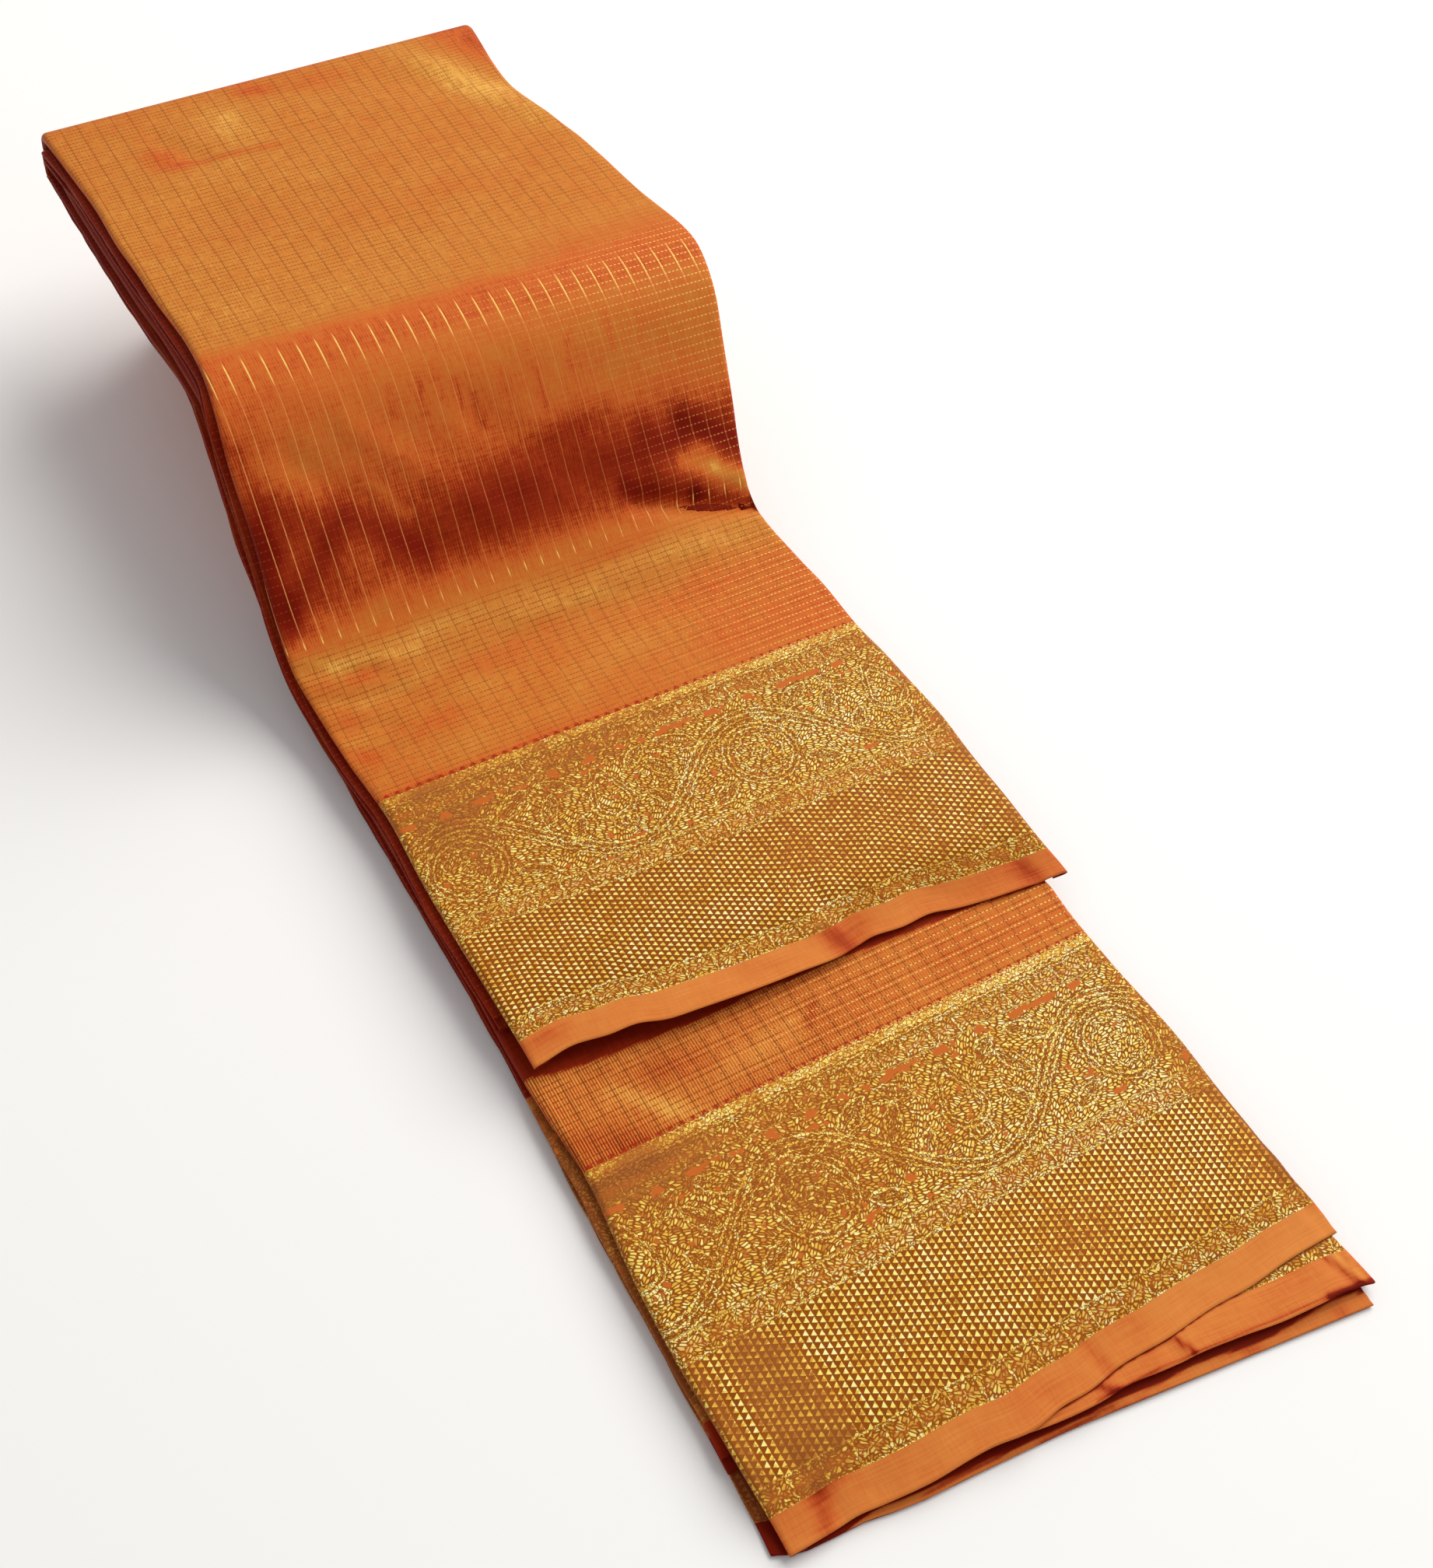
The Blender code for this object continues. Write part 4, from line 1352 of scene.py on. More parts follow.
    def vine_band(self, graph: Graph, u: Value, v: Value) -> tuple[Value, Value]:
        """The wavy vine with a medallion inside each crest, a bud inside each trough, and leaves between.

        The vine's middle is v = VINE_MIDDLE + VINE_SWING cos(2 pi p / repeat), where p is the place from a
        medallion. A medallion is two rings, a ring of petals and a heart; a bud is two drops over a flower.

        Args:
            graph: the material's graph.
            u: place across, in millimetres.
            v: place from the selvedge's edge, in millimetres.

        Returns:
            The distance to the nearest drawn line, and 1 where the ground is left bare.
        """
        turn = 2 * math.pi / self.repeat
        shift = (u - self.first_medallion) * turn
        slope = graph.math("SINE", shift)
        slant = graph.math("SQRT", 1.0 + slope * slope * (VINE_SWING * turn) ** 2)
        q = abs(v - (VINE_MIDDLE + VINE_SWING * graph.math("COSINE", shift))) / slant
        curve = q.near(VINE_HALF).least(q)
        p = u.every(self.repeat, self.first_medallion)
        up = v - MEDALLION
        reach = graph.reach(p, up)
        angle = graph.math("ARCTAN2", up, p)
        petals, heart = (
            least + swell * abs(graph.math("COSINE", angle * half)) for least, swell, half in (PETALS, HEART)
        )
        for radius in (*MEDALLION_RINGS, petals, heart):
            curve = curve.least(reach.near(radius))
        b = self.repeat / 2 - p
        rise = v - BUD
        tall = rise.least(0.0) + rise.most(0.0) * 0.52
        bud = graph.reach(b * (1.0 + rise.most(0.0) * 0.05), tall)
        flower = graph.reach(b, v - FLOWER)
        for distance, radii in ((bud, BUD_DROPS), (flower, FLOWER_RINGS)):
            for radius in radii:
                curve = curve.least(distance.near(radius))
        for leaf in LEAVES:
            curve = curve.least(self.leaf(p, v, leaf))
        broken = graph.noise(u * 0.09, v * 0.12, 2.0, 51.0)
        patch = v * 0.0
        for bare in BARE_PATCHES:
            inside = v.near(bare.level).below(bare.half, 0.5)
            patch = patch.most(inside * broken.above(bare.noise, bare.soft))
        return curve, patch

    @staticmethod
    def leaf(p: Value, v: Value, leaf: Leaf) -> Value:
        """The distance to a leaf's outline or midrib; the outline is a lens of two arcs.

        Args:
            p: place from the medallion.
            v: place from the selvedge's edge.
            leaf: the leaf.

        Returns:
            The distance.
        """
        cosine, sine = math.cos(math.radians(leaf.turn)), math.sin(math.radians(leaf.turn))
        right, up = p - leaf.at, v - leaf.level
        a = right * cosine + up * sine
        b = abs(up * cosine - right * sine)
        outline = b - leaf.wide * (1.0 - a * a * (1 / leaf.long**2))
        beyond = (abs(a) - leaf.long).most(0.0)
        return abs(outline).least(b + 0.3) + beyond * 2.0

    def triangles(self, graph: Graph, u: Value, v: Value) -> Value:
        """The lattice: a small triangle in each cell, pointing to the body, every other column half up.

        Each is lit only up to bar_top, give or take a little, in millimetres from its cell's middle.

        Args:
            graph: the material's graph.
            u: place across, in millimetres.
            v: place from the selvedge's edge, in millimetres.

        Returns:
            1 on a triangle and 0 between.
        """
        wide, tall = self.bar_across, self.bar_along
        across = u.cell(wide)
        odd = graph.math("WRAP", u - wide / 2, 2 * wide, 0.0).above(wide, 0.01)
        up = (v + odd * (tall / 2)).cell(tall)
        high = up + across * 0.51
        side = abs(across - up * 0.43) * 1.9 + high
        top = (graph.noise(u * 0.5, v * 0.5, 1.0, 61.0) - 0.5) * 1.6 + self.bar_top
        return side.below(1.06, 0.3) * high.above(-1.04, 0.2) * (up - top).below(0.0, 0.5)


@dataclass(frozen=True)
class Finishes:
    """The three woven bands' materials."""

    selvedge: bpy.types.Material
    border: bpy.types.Material
    body: bpy.types.Material

    @staticmethod
    def build(label: str, first_medallion: float, repeat: float, bar_top: float) -> "Finishes":
        """Makes the materials for a sheet whose border starts its pattern at this place.

        Args:
            label: added to the border's name.
            first_medallion: where a medallion is, across the strip in millimetres.
            repeat: the vine's repeat, in millimetres.
            bar_top: how far up each lattice cell is lit, in millimetres from its middle.

        Returns:
            The materials.
        """
        made = bpy.data.materials
        selvedge, body = (made.get(silk.name) or silk.build() for silk in (SELVEDGE_SILK, BODY_SILK))
        border = ZariBorder("zari_border_" + label, repeat, first_medallion, bar_top)
        return Finishes(selvedge, border.build(), body)

    def bands(self) -> list[bpy.types.Material]:
        """The materials from the selvedge inwards."""
        return [self.selvedge, self.border, self.body]


def run(*stops: tuple[float, float]) -> Array:
    """Lengths from stop to stop: each stop is (place, spacing up to the next)."""
    pieces = []
    for (start, spacing), (end, _) in zip(stops[:-1], stops[1:]):
        pieces.append(np.linspace(start, end, max(2, round((end - start) / spacing) + 1))[:-1])
    return np.concatenate(pieces + [np.array([stops[-1][0]])])


@dataclass(frozen=True)
class TopSheet:
    """A stretch of the sari seen from above, with its hem, its folds at both sides and its creases."""

    name: str
    node: str
    seed: int
    near: float
    top_depth: float
    section: Section
    lengths: Array
    edges: Sequence[Edge]
    hem: Sequence[Hem]
    hem_fade: float
    tones: Sequence[Level]
    patches: Sequence[Oval]
    shades: Sequence[Line]
    warp: Sequence[Level]
    weft: Sequence[Level]
    rib: Sequence[Level] = BORDER_RIB
    creases: Sequence[Line] = ()
    dents: Sequence[Oval] = ()
    drop: Sequence[Drop] = ()
    covered: Sequence[Cover] = ()
    cover_shade_tone: float = -0.85
    edge_wave: float = 0.0004
    tuck: float = 0.0
    far_turn: bool = False

    def build(self, finishes: Finishes) -> bpy.types.Object:
        """Builds the sheet.

        Each row is the section between its two edges. Near the hem it is moved out by the hem's reach and up
        by its lift, then sinks along the photo's line of sight onto what it lies on, with flatter folds.
        Hollows and creases sink it square to the strip, and fade out before the far fold.

        Args:
            finishes: its materials.

        Returns:
            The sheet.
        """
        length = self.lengths[:, None]
        along = STRIP.top_line(self.lengths)[0]
        wave = self.edge_wave * ripple(self.lengths, 0 * self.lengths, self.seed, 0.03)
        left = table_value(self.edges, "along", "left", along) + wave
        right = table_value(self.edges, "along", "right", along) + wave[::-1]
        x, u = self.section.across(left, right)
        side = np.clip(self.section.depth[None, :] / (2 * self.section.radius), 0, 1)
        settling = 1 - smooth_step(self.near, self.near + DROP_FADE, length) if self.drop else 0 * length
        down = self.section.depth[None, :] * (1 - FLATTENED * settling)
        share = 1 - smooth_step(self.near, self.near + self.hem_fade, length)
        shifted = length - share * table_value(self.hem, "across", "reach", x) + STRIP.far_shift(length, x)
        shifted = shifted + self.tuck * side
        rising = 1 - smooth_step(self.near, self.near + LIFT_FADE, length)
        lift = rising * table_value(self.hem, "across", "lift", x)
        on_top = 1 - np.clip(down / self.section.radius, 0, 1)
        place = STRIP.top_line(shifted)[0]
        sink = (soft_ovals(self.dents, x, place) + soft_lines(self.creases, x, place)) / MILLIMETRES
        for turn, (deep, scale) in enumerate(SWELLS):
            sink = sink + deep * ripple(x, length, self.seed + 1 + turn, scale)
        sink = sink * (1 - smooth_step(STRIP.turn_length - SINK_FADE, STRIP.turn_length, length))
        points = STRIP.place(x, shifted, self.top_depth + down - lift + sink * on_top)
        if self.drop:
            way = (points - VIEW_FROM) / (VIEW_FROM[2] - points[..., 2:])
            points = points + (settling * table_value(self.drop, "across", "deep", x))[..., None] * way
        v = np.broadcast_to(length - self.near, x.shape)
        # The looks: the tone with its painted shade and sheen, the threads' painted glints, and the rib
        looks = {
            look: level_value(rows, x, place)
            for look, rows in zip(Look, (self.tones, self.warp, self.weft, self.rib))
        }
        # Painted highlights and painted shade from the ovals and lines, with some uneven tone
        looks[Look.TONE] += soft_ovals(self.patches, x, place) + soft_lines(self.shades, x, place)
        # Painted shadow: where the sheet goes under the one above, its looks fade and its tone turns to the
        # painted shade
        if self.covered:
            shade = smooth_step(*COVER_EDGE, place - table_value(self.covered, "across", "along", x))
            looks = {look: values * (1 - shade) for look, values in looks.items()}
            looks[Look.TONE] += self.cover_shade_tone * shade
        # Painted shade down the folded sides
        looks[Look.TONE] = looks[Look.TONE] * (1 - SIDE_FADE * side) - SIDE_SHADE * side
        if self.far_turn:
            points, u, v, looks = self.turned(points, u, v, looks)
        obj = Cloth(self.name, points, u, v, looks).build(finishes.bands())
        hand_over(obj, self.node)
        return obj

    def turned(
        self, points: Array, u: Array, v: Array, looks: dict[Look, Array]
    ) -> tuple[Array, Array, Array, dict[Look, Array]]:
        """Adds the rows round the far fold: arcs about the middle of both stacks.

        Args:
            points: the sheet's points so far.
            u: their cloth coordinate u.
            v: their cloth coordinate v.
            looks: their looks.

        Returns:
            The points, u, v and looks with the added rows.
        """
        centre = STACK_DEPTH / 2
        height = STRIP.top_line(np.array([self.lengths[-1]]))[1]
        x, far, top = points[-1].T
        angle = np.linspace(0, FAR_ARC, FAR_ROWS + 1)[1:, None]
        radius = np.maximum(top - height + centre, LEAST_RADIUS)[None, :]
        y = far + radius * np.sin(angle)
        z = height - centre + radius * np.cos(angle)
        added = np.stack([np.broadcast_to(x, y.shape), y, z], axis=-1)
        points = np.concatenate([points, added])
        u = np.concatenate([u, np.broadcast_to(u[-1], y.shape)])
        v = np.concatenate([v, v[-1] + centre * angle + 0 * y])
        looks = {
            look: np.concatenate([values, np.broadcast_to(values[-1], y.shape)])
            for look, values in looks.items()
        }
        # Painted shade round the far fold
        looks[Look.TONE][-FAR_ROWS:] -= FAR_SHADE * np.sin(angle)
        return points, u, v, looks


def upper_sheet(finishes: Finishes) -> bpy.types.Object:
    """The upper stack's top sheet, from its near edge over the step and round the far fold."""
    near = 0.1640
    return TopSheet(
        name="upper_sheet_cloth", node="upper_sheet", seed=11, near=near, top_depth=0.0,
        section=Section.build(FOLD_DEPTH, 112),
        lengths=run(
            (near, 0.0011), (near + SELVEDGE_DEPTH, 0.0022), (near + BORDER_DEPTH, 0.0022), (0.302, 0.002),
            (STRIP.foot_start - 0.012, 0.0018), (STRIP.head_end + 0.004, 0.0026), (STRIP.turn_length, 0.0),
        ),
        edges=UPPER_EDGES, hem=UPPER_HEM, hem_fade=0.10, tones=UPPER_LEVELS, patches=UPPER_PATCHES,
        shades=UPPER_SHADES, warp=UPPER_WARP, weft=UPPER_WEFT, creases=UPPER_CREASES, dents=DENTS,
        drop=UPPER_DROP, far_turn=True,
    ).build(finishes)


def lower_sheet(finishes: Finishes) -> bpy.types.Object:
    """The lower stack's top sheet."""
    return TopSheet(
        name="lower_sheet_cloth", node="lower_sheet", seed=21, near=0.0, top_depth=LOWER_SHEET_TOP,
        section=Section.build(LOWER_FOLD_DEPTH, 112),
        lengths=run(
            (0.0, 0.0011), (SELVEDGE_DEPTH, 0.0020), (BORDER_DEPTH, 0.0020), (0.157, 0.0008), (0.178, 0.005),
            (0.322, 0.003), (STRIP.head_end, 0.006), (STRIP.turn_length - 0.020, 0.0),
        ),
        edges=LOWER_EDGES, hem=LOWER_HEM, hem_fade=0.035, tones=LOWER_LEVELS, patches=LOWER_PATCHES,
        shades=LOWER_SHADES, warp=LOWER_WARP, weft=LOWER_WEFT, rib=LOWER_RIB, creases=LOWER_CREASES,
        drop=LOWER_DROP, covered=LOWER_COVER,
    ).build(finishes)


def second_sheet(finishes: Finishes) -> bpy.types.Object:
    """The sheet under the lower sheet, folded back under itself at its right edge."""
    depth = 0.0031
    return TopSheet(
        name="second_sheet_cloth", node="second_sheet", seed=31, near=0.0,
        top_depth=BOTTOM_SHEET_TOP - GAP - depth,
        section=Section.build(depth, 96, back=0.92, left=False),
        lengths=run((0.0, 0.0007), (0.022, 0.0014), (0.036, 0.0)),
        edges=SECOND_EDGES, hem=SECOND_HEM, hem_fade=0.080, tones=SECOND_LEVELS, patches=SECOND_PATCHES,
        shades=SECOND_SHADES, warp=THREAD_LEVELS, weft=THREAD_LEVELS, creases=SECOND_CREASES,
        covered=SECOND_COVER, cover_shade_tone=-1.20, edge_wave=0.0, tuck=0.0045,
    ).build(finishes)


def bottom_sheet(finishes: Finishes) -> bpy.types.Object:
    """The sheet that lies on the surface, up the underside of the step to the far fold."""
    return TopSheet(
        name="bottom_sheet_cloth", node="bottom_sheet", seed=41, near=0.0, top_depth=BOTTOM_SHEET_TOP,
        section=Section.build(0.0009, 60, curl=5, back=0.5),
        lengths=run(
            (0.0, 0.0007), (SELVEDGE_DEPTH, 0.003), (BORDER_DEPTH, 0.005), (0.322, 0.003),
            (STRIP.head_end, 0.006), (STRIP.turn_length + 0.0030, 0.0),
        ),
        edges=INNER_EDGES, hem=BOTTOM_HEM, hem_fade=0.03, tones=FLAT_LEVELS, patches=BOTTOM_PATCHES,
        shades=BOTTOM_SHADES, warp=THREAD_LEVELS, weft=THREAD_LEVELS, covered=BOTTOM_COVER,
        cover_shade_tone=-1.30, edge_wave=0.0003,
    ).build(finishes)


# The hidden folds' rows: where they get closer for the step, where wider past the near end, their spacings
STEP_ROWS = 0.322
NEAR_ROWS = 0.17
CLOSE = 0.004
WIDE = 0.010
WIDEST = 0.012
# The tones of the folds inside and under the stacks: a deep painted shade inside, their own under them, and
# how far clouds change it
HIDDEN_SHADE = -1.0
HIDDEN_CLOUDS = 0.3
UNDER_TONE = 0.15
UNDER_CLOUDS = 0.4
# Inside the stacks it gets darker towards the right side, from here to here
RIGHT_SHADE = 0.6
RIGHT_EDGE = (0.08, 0.10)
# How few light and dark threads those folds have, along and across
FEW_WARP = -0.6
FEW_WEFT = -0.5


@dataclass(frozen=True)
class HiddenFold:
    """A folded length inside the stacks: out along the upper, round the far fold, back along the lower."""

    number: int
    upper_top: float
    lower_top: float
    upper_deep: float
    lower_deep: float
    upper_near: float
    lower_near: float
    wider: float
    finishes: Finishes
    past_left: float = 0.0022
    within_right: float = 0.0026
    before_turn: float = 0.005
    waviness: float = 0.0007

    def build(self) -> bpy.types.Object:
        """Builds the fold.

        Its section is a flat loop with half-round sides. On the turn the loop's outside runs on an arc about
        the middle of both stacks, whose radius goes evenly from the upper stack's to the lower one's.

        Returns:
            The fold.
        """
        centre = STACK_DEPTH / 2
        turn_at = STRIP.turn_length - self.before_turn
        step = ((STEP_ROWS, CLOSE), (STRIP.head_end, WIDE), (turn_at, 0.0))
        upper = run((self.upper_near, WIDEST), *step)
        lower = run((self.lower_near, CLOSE), (NEAR_ROWS, WIDE), *step)
        angle = np.linspace(0, math.pi, 14)[1:-1]
        length = np.concatenate([upper, np.full(len(angle), turn_at), lower[::-1]])
        share = np.concatenate([np.zeros(len(upper)), angle / math.pi, np.ones(len(lower))])
        turning = np.concatenate([np.zeros(len(upper)), angle, np.full(len(lower), math.pi)])
        along = STRIP.top_line(length)[0]
        wave = self.waviness * ripple(length + share, length, 50 + self.number, 0.05)
        edges = (UPPER_EDGES, INNER_EDGES)
        left, right = (
            self.blend(share, *(table_value(rows, "along", side, along) for rows in edges))
            for side in ("left", "right")
        )
        left = left - self.past_left * (1 - share) - self.wider + wave
        right = right - self.within_right + self.wider * 0.3 + wave[::-1]
        deep = self.blend(share, self.upper_deep, self.lower_deep)[:, None]
        section = Section.build(1.0, 30, curl=7, back=0.5)
        start = (left + deep[:, 0] / 2)[:, None]
        end = (right - deep[:, 0] / 2)[:, None]
        flat = start + (end - start) * section.share
        x = flat + section.aside * deep
        u = flat + np.sign(section.cloth) * np.minimum(abs(section.cloth), 0.5 * math.pi) * deep
        outside = self.blend(share, centre - self.upper_top, self.lower_top + self.lower_deep - centre)
        radius = outside[:, None] - section.depth[None, :] * deep
        shift = STRIP.far_shift(length[:, None], x)
        points = STRIP.place(x, length[:, None] + shift, centre - np.cos(turning)[:, None] * radius)
        points[..., 1] += np.where(share < 1, np.sin(turning), 0)[:, None] * radius
        v = self.blend(share, length + 0.1, length - self.lower_near)[:, None] + 0 * x
        # Painted shade: the folds inside the stacks are a deep dark red, darker still towards the right,
        # with clouds
        clouds = HIDDEN_CLOUDS * ripple(u, v, 60 + self.number, 0.03)
        tone = HIDDEN_SHADE - RIGHT_SHADE * smooth_step(*RIGHT_EDGE, x) + clouds
        looks = {Look.TONE: tone, Look.WARP: tone * 0 + FEW_WARP, Look.WEFT: tone * 0 + FEW_WEFT}
        obj = Cloth(f"hidden_fold_{self.number}", points, u, v, looks).build(self.finishes.bands())
        hand_over(obj, "hidden_layers")
        return obj

    @staticmethod
    def blend(share: Array, first: Union[Array, float], second: Union[Array, float]) -> Array:
        """first * (1 - share) + second * share."""
        return first * (1 - share) + second * share


def hidden_folds(finishes: Finishes) -> list[bpy.types.Object]:
    """Three folds inside each stack, the outermost above joined to the lowest below round the far fold."""
    gap = 0.00022
    upper_step, lower_step = UPPER_INNER_DEPTH / 3, LOWER_INNER_DEPTH / 3
    ends = ((0.198, 0.030, 0.0004), (0.194, 0.038, -0.0002), (0.196, 0.034, 0.0006))
    return [
        HiddenFold(
            number=number + 1,
            upper_top=UPPER_INNER_TOP + number * upper_step,
            lower_top=LOWER_INNER_TOP + (2 - number) * lower_step,
            upper_deep=upper_step - gap,
            lower_deep=lower_step - gap,
            upper_near=upper_near,
            lower_near=lower_near,
            wider=wider,
            finishes=finishes,
        ).build()
        for number, (upper_near, lower_near, wider) in enumerate(ends)
    ]


# The under folds: how many, how uneven in depth, the space between two, their least and most reach to the
# left, right and far end, and the points round each
UNDER_FOLDS = 16
UNEVEN = (0.9, 1.1)
UNDER_GAP = 0.0002
UNDER_LEAST = (-0.0810, 0.0885, 0.6265)
UNDER_MOST = (-0.0775, 0.0915, 0.6310)
AROUND = 161


@dataclass(frozen=True)
class UnderFold:
    """One folded length under the raised half: a flat loop with rounded sides, round a rounded rectangle."""

    number: int
    low: float
    high: float
    left: float
    right: float
    far: float
    material: bpy.types.Material
    near: float = 0.374
    near_corner: float = 0.0064
    far_corner: float = 0.016
    clearance: float = 0.0004
    near_inset: float = 0.4
    waviness: float = 0.0006

    def outline(self, inset: float, height: float) -> Array:
        """The rounded rectangle at this height, drawn in by an inset.

        Args:
            inset: how far it is drawn in.
            height: its height, which sets where it meets the step's underside.

        Returns:
            Points across and along, with every corner an arc of ten points.
        """
        left, right, far = self.left + inset, self.right - inset, self.far - inset
        near = max(self.near, under_near(height + self.clearance)) + self.near_inset * inset
        near_corner, far_corner = self.near_corner, self.far_corner
        rows = []
        for x, y, to_x, to_y, start, radius in (
            (right, near, -1, 1, -0.5, near_corner), (right, far, -1, -1, 0.0, far_corner),
            (left, far, 1, -1, 0.5, far_corner), (left, near, 1, 1, 1.0, near_corner),
        ):
            angle = math.pi * (start + np.linspace(0, 0.5, 10))
            middle = np.array([x + to_x * radius, y + to_y * radius])
            rows.append(middle + radius * np.stack([np.cos(angle), np.sin(angle)], axis=-1))
        closed = np.concatenate(rows + [rows[0][:1]])
        lengths = np.concatenate([[0], np.cumsum(np.hypot(*np.diff(closed, axis=0).T))])
        even = np.linspace(0, lengths[-1], AROUND)
        return np.stack([np.interp(even, lengths, places) for places in closed.T], axis=-1)

    def build(self) -> bpy.types.Object:
        """Builds the fold: outlines drawn in by r (1 - cos a) at height r sin a, a from -90 to 90 degrees.

        Returns:
            The fold.
        """
        radius = (self.high - self.low) / 2
        middle = (self.high + self.low) / 2
        quarter = math.pi / 2
        rows = [(radius * 8, -1.0), (radius * 3, -1.0)]
        rows += [(radius * (1 - math.cos(a)), math.sin(a)) for a in np.linspace(-quarter, quarter, 9)]
        rows += [(radius * 3, 1.0), (radius * 8, 1.0)]
        points, v = [], []
        for inset, rise in rows:
            height = middle + rise * radius
            line = self.outline(inset, height)
            sway = self.waviness * ripple(line[:, 0], line[:, 1], 70 + self.number, 0.08) * (1 - abs(rise))
            points.append(np.column_stack([line * (1 + sway[:, None]), np.full(len(line), height)]))
            place = 0.3 + self.number * 0.017 + rise * radius * 1.6 - math.copysign(inset, -rise)
            v.append(np.full(len(line), place))
        grid = np.array(points)
        u = np.broadcast_to(np.linspace(0, 4 * WIDTH, grid.shape[1]), grid.shape[:2])
        tone = UNDER_TONE + UNDER_CLOUDS * ripple(grid[..., 0], grid[..., 1] + self.number, 80, 0.09)
        looks = {Look.TONE: tone, Look.WARP: tone * 0 + FEW_WARP, Look.WEFT: tone * 0 + FEW_WARP}
        cloth = Cloth(f"under_fold_{self.number:02d}", grid, u, np.array(v), looks)
        obj = cloth.build([self.material], bands=False)
        self.cap(obj, grid.shape)
        hand_over(obj, "under_layers")
        return obj

    @staticmethod
    def cap(obj: bpy.types.Object, shape: tuple[int, ...]) -> None:
        """Closes the fold's two flat sides with one face each and welds the outline's ends.

        Args:
            obj: the fold.
            shape: its grid's shape.
        """
        rows, around = shape[:2]
        work = bmesh.new()
        work.from_mesh(obj.data)
        work.verts.ensure_lookup_table()
        bottom = [work.verts[c] for c in range(around - 1)]
        top = [work.verts[(rows - 1) * around + c] for c in range(around - 1)]
        work.faces.new(bottom[::-1])
        work.faces.new(top)
        bmesh.ops.remove_doubles(work, verts=work.verts, dist=1e-6)
        for face in work.faces:
            face.smooth = len(face.verts) == 4
        work.to_mesh(obj.data)
        work.free()


def under_near(height: float) -> float:
    """Where the raised half's underside is at this height, along the strip."""
    lengths = np.linspace(STRIP.foot_start, STRIP.head_end, 400)
    underside = STRIP.place(np.array(0.0), lengths, np.array(STACK_DEPTH + 2 * GAP))
    return float(np.interp(height, underside[:, 2], underside[:, 1]))


def under_folds(finishes: Finishes) -> list[bpy.types.Object]:
    """Sixteen folds that carry the raised half, a little uneven in depth and width."""
    draw = np.random.default_rng(7)
    depths = draw.uniform(*UNEVEN, UNDER_FOLDS)
    levels = np.concatenate([[0], np.cumsum(depths)]) / depths.sum() * (STRIP.rise - GAP)
    made = []
    for number in range(UNDER_FOLDS):
        left, right, far = draw.uniform(UNDER_LEAST, UNDER_MOST)
        low, high = float(levels[number]) + UNDER_GAP / 2, float(levels[number + 1]) - UNDER_GAP / 2
        made.append(UnderFold(number + 1, low, high, left, right, far, finishes.body).build())
    return made


def direction(azimuth: float, elevation: float) -> Vector:
    """(sin a cos e, cos a cos e, sin e): the way that is a to the right of the strip and e above level."""
    level = math.cos(elevation)
    return Vector((math.sin(azimuth) * level, math.cos(azimuth) * level, math.sin(elevation)))


@dataclass(frozen=True)
class Studio:
    """A pale floor, a large soft key light from the far right, and a soft fill from all round."""

    floor_side: float = 14.0
    floor_level: float = -0.0004
    floor_colour: Colour = (255, 255, 255)
    key_watts: float = 70.0
    key_side: float = 2.4
    key_azimuth: float = 72.0
    key_elevation: float = 47.0
    key_distance: float = 2.6
    fill: float = 0.42

    def build(self) -> None:
        """Puts in the floor, the key light and the fill."""
        half = self.floor_side / 2
        mesh = bpy.data.meshes.new("floor")
        corners = ((-half, -half), (half, -half), (half, half), (-half, half))
        mesh.from_pydata([(*corner, self.floor_level) for corner in corners], [], [(0, 1, 2, 3)])
        graph = Graph("floor_paper")
        paper = linear(self.floor_colour)
        mesh.materials.append(graph.finish(graph.mix(0.0, paper, paper), 0.9, 0.1))
        floor = bpy.data.objects.new("floor", mesh)
        bpy.context.scene.collection.objects.link(floor)
        light = bpy.data.lights.new("key", "AREA")
        light.energy = self.key_watts
        light.size = self.key_side
        light.color = (1.0, 0.97, 0.92)
        key = bpy.data.objects.new("key", light)
        way = direction(math.radians(self.key_azimuth), math.radians(self.key_elevation))
        key.location = way * self.key_distance
        key.rotation_euler = (-way).to_track_quat("-Z", "Y").to_euler()
        bpy.context.scene.collection.objects.link(key)
        world = bpy.data.worlds.new("studio")
        world.use_nodes = True
        back = world.node_tree.nodes["Background"]
        back.inputs["Color"].default_value = (1.0, 1.0, 1.0, 1.0)
        back.inputs["Strength"].default_value = self.fill
        bpy.context.scene.world = world
        bpy.context.scene.view_settings.view_transform = "Standard"


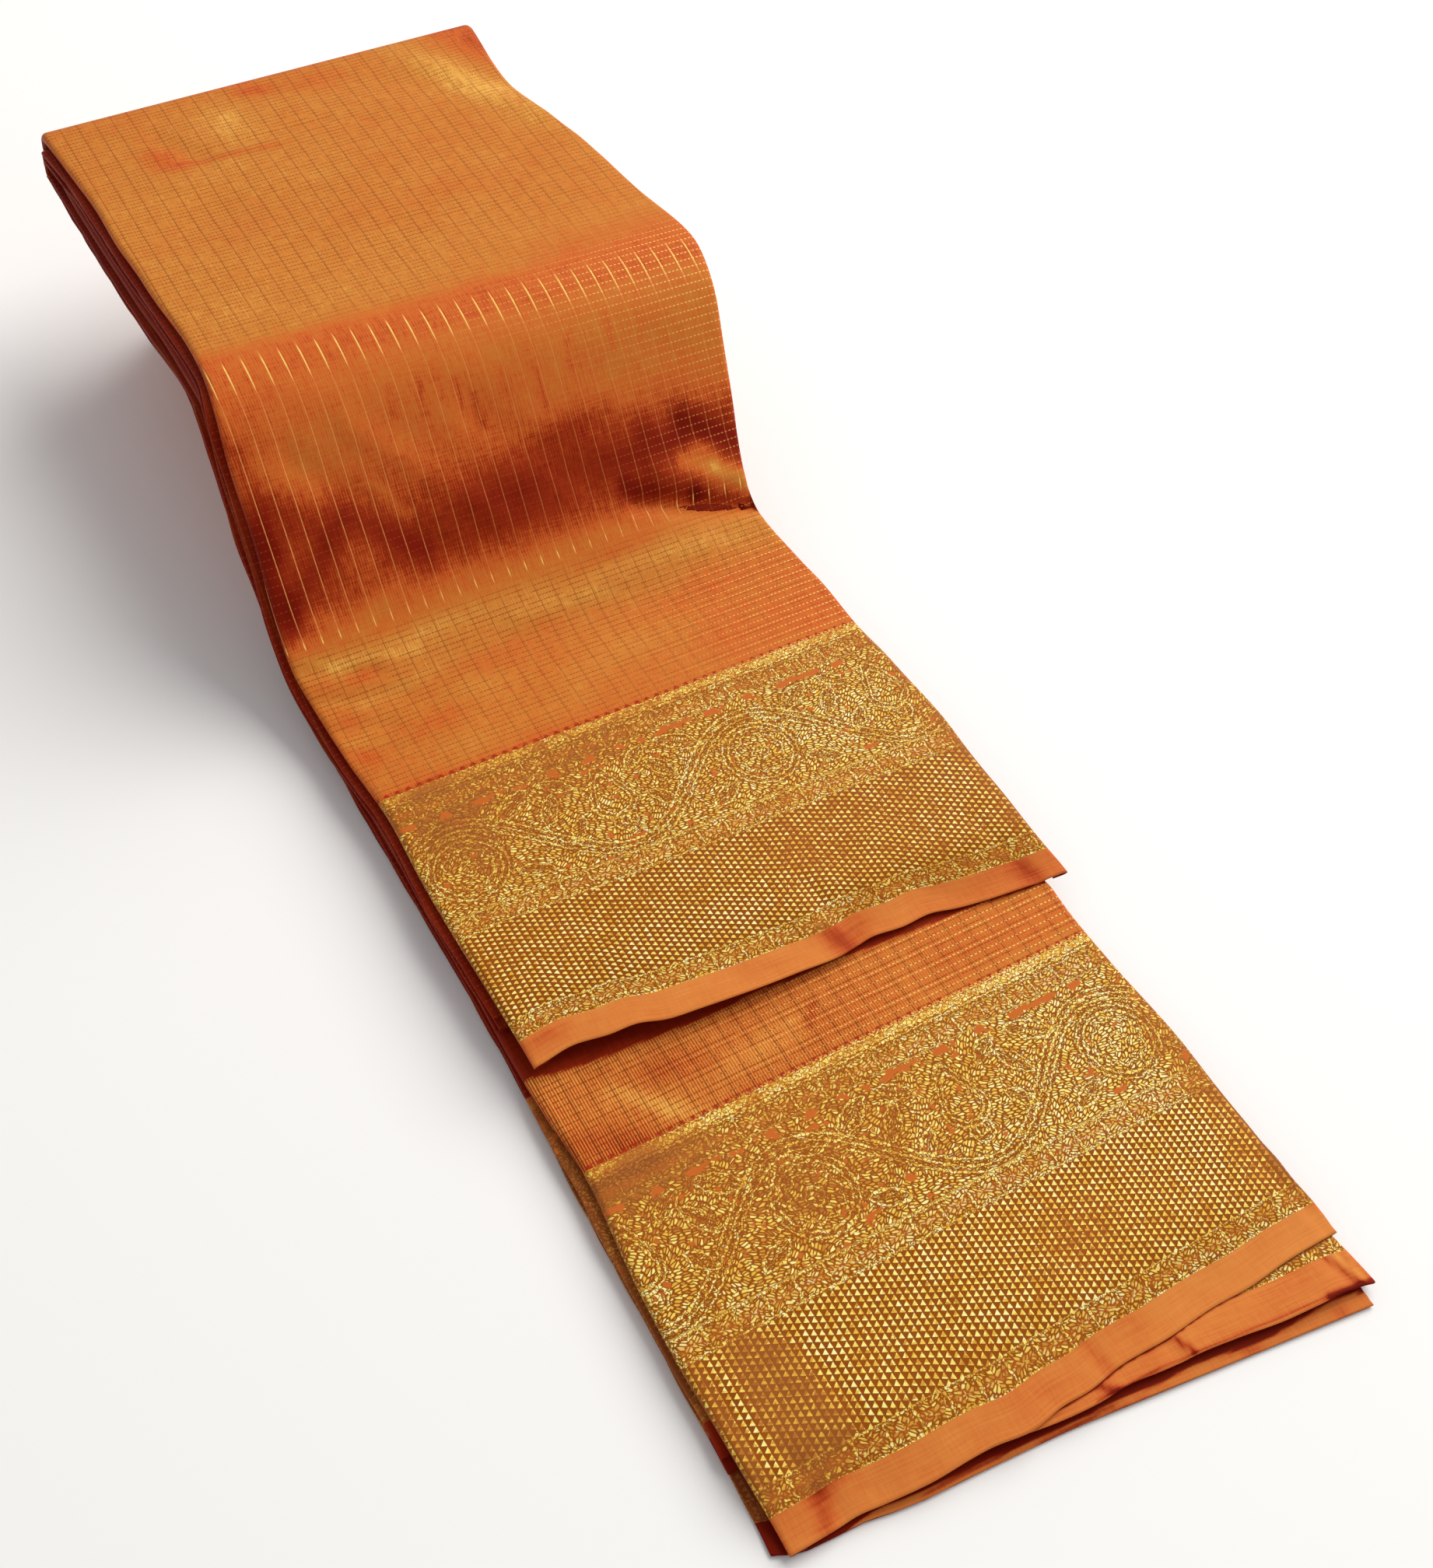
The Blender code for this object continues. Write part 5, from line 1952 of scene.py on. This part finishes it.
@dataclass(frozen=True)
class PhotoCamera:
    """The camera at the photo's place: above the near left, looking down along the strip."""

    azimuth: float = 35.038
    down: float = 51.300
    roll: float = 6.689
    lens: float = 44.861

    def build(self) -> bpy.types.Object:
        """Puts in the camera.

        Returns:
            The camera.
        """
        azimuth, down, roll = (math.radians(a) for a in (self.azimuth, self.down, self.roll))
        forward = direction(azimuth, -down)
        right = forward.cross(Vector((0, 0, 1))).normalized()
        up = right.cross(forward)
        turned_right = right * math.cos(roll) + up * math.sin(roll)
        turned_up = up * math.cos(roll) - right * math.sin(roll)
        data = bpy.data.cameras.new("photo_camera")
        data.sensor_width = 36.0
        data.sensor_fit = "HORIZONTAL"
        data.lens = self.lens
        data.clip_start = 0.01
        camera = bpy.data.objects.new("photo_camera", data)
        place = Vector(VIEW_FROM + PLACING)
        axes = Matrix((turned_right, turned_up, -forward)).transposed().to_4x4()
        camera.matrix_world = Matrix.Translation(place) @ axes
        bpy.context.scene.collection.objects.link(camera)
        bpy.context.scene.camera = camera
        return camera


def declare_sheets(pieces: dict[str, list[bpy.types.Object]]) -> None:
    """Picks out each sheet, and the piece below each fold, but records nothing.

    Args:
        pieces: the made pieces by group.
    """
    top, low, second, bottom = (pieces[name][0] for name in ("upper", "lower", "second", "bottom"))
    hidden, under = pieces["hidden"], pieces["under"]
    for number, fold in enumerate(hidden):
        below = hidden[number + 1] if number < 2 else low
    for number, fold in enumerate(under):
        [under[number - 1]] if number else ["floor"]


def main() -> None:
    """Builds the sari's pieces in order, then the studio and the camera."""
    logging.basicConfig(level=logging.INFO, format="%(name)s: %(message)s")
    PhotoCamera().build()
    upper = Finishes.build("upper", first_medallion=-88.0, repeat=123.2, bar_top=0.25)
    lower = Finishes.build("lower", first_medallion=87.0, repeat=127.0, bar_top=2.0)
    pieces = {
        "upper": [upper_sheet(upper)],
        "lower": [lower_sheet(lower)],
        "second": [second_sheet(lower)],
        "bottom": [bottom_sheet(lower)],
        "hidden": hidden_folds(lower),
        "under": under_folds(lower),
    }
    declare_sheets(pieces)
    Studio().build()


if __name__ == "__main__":
    main()
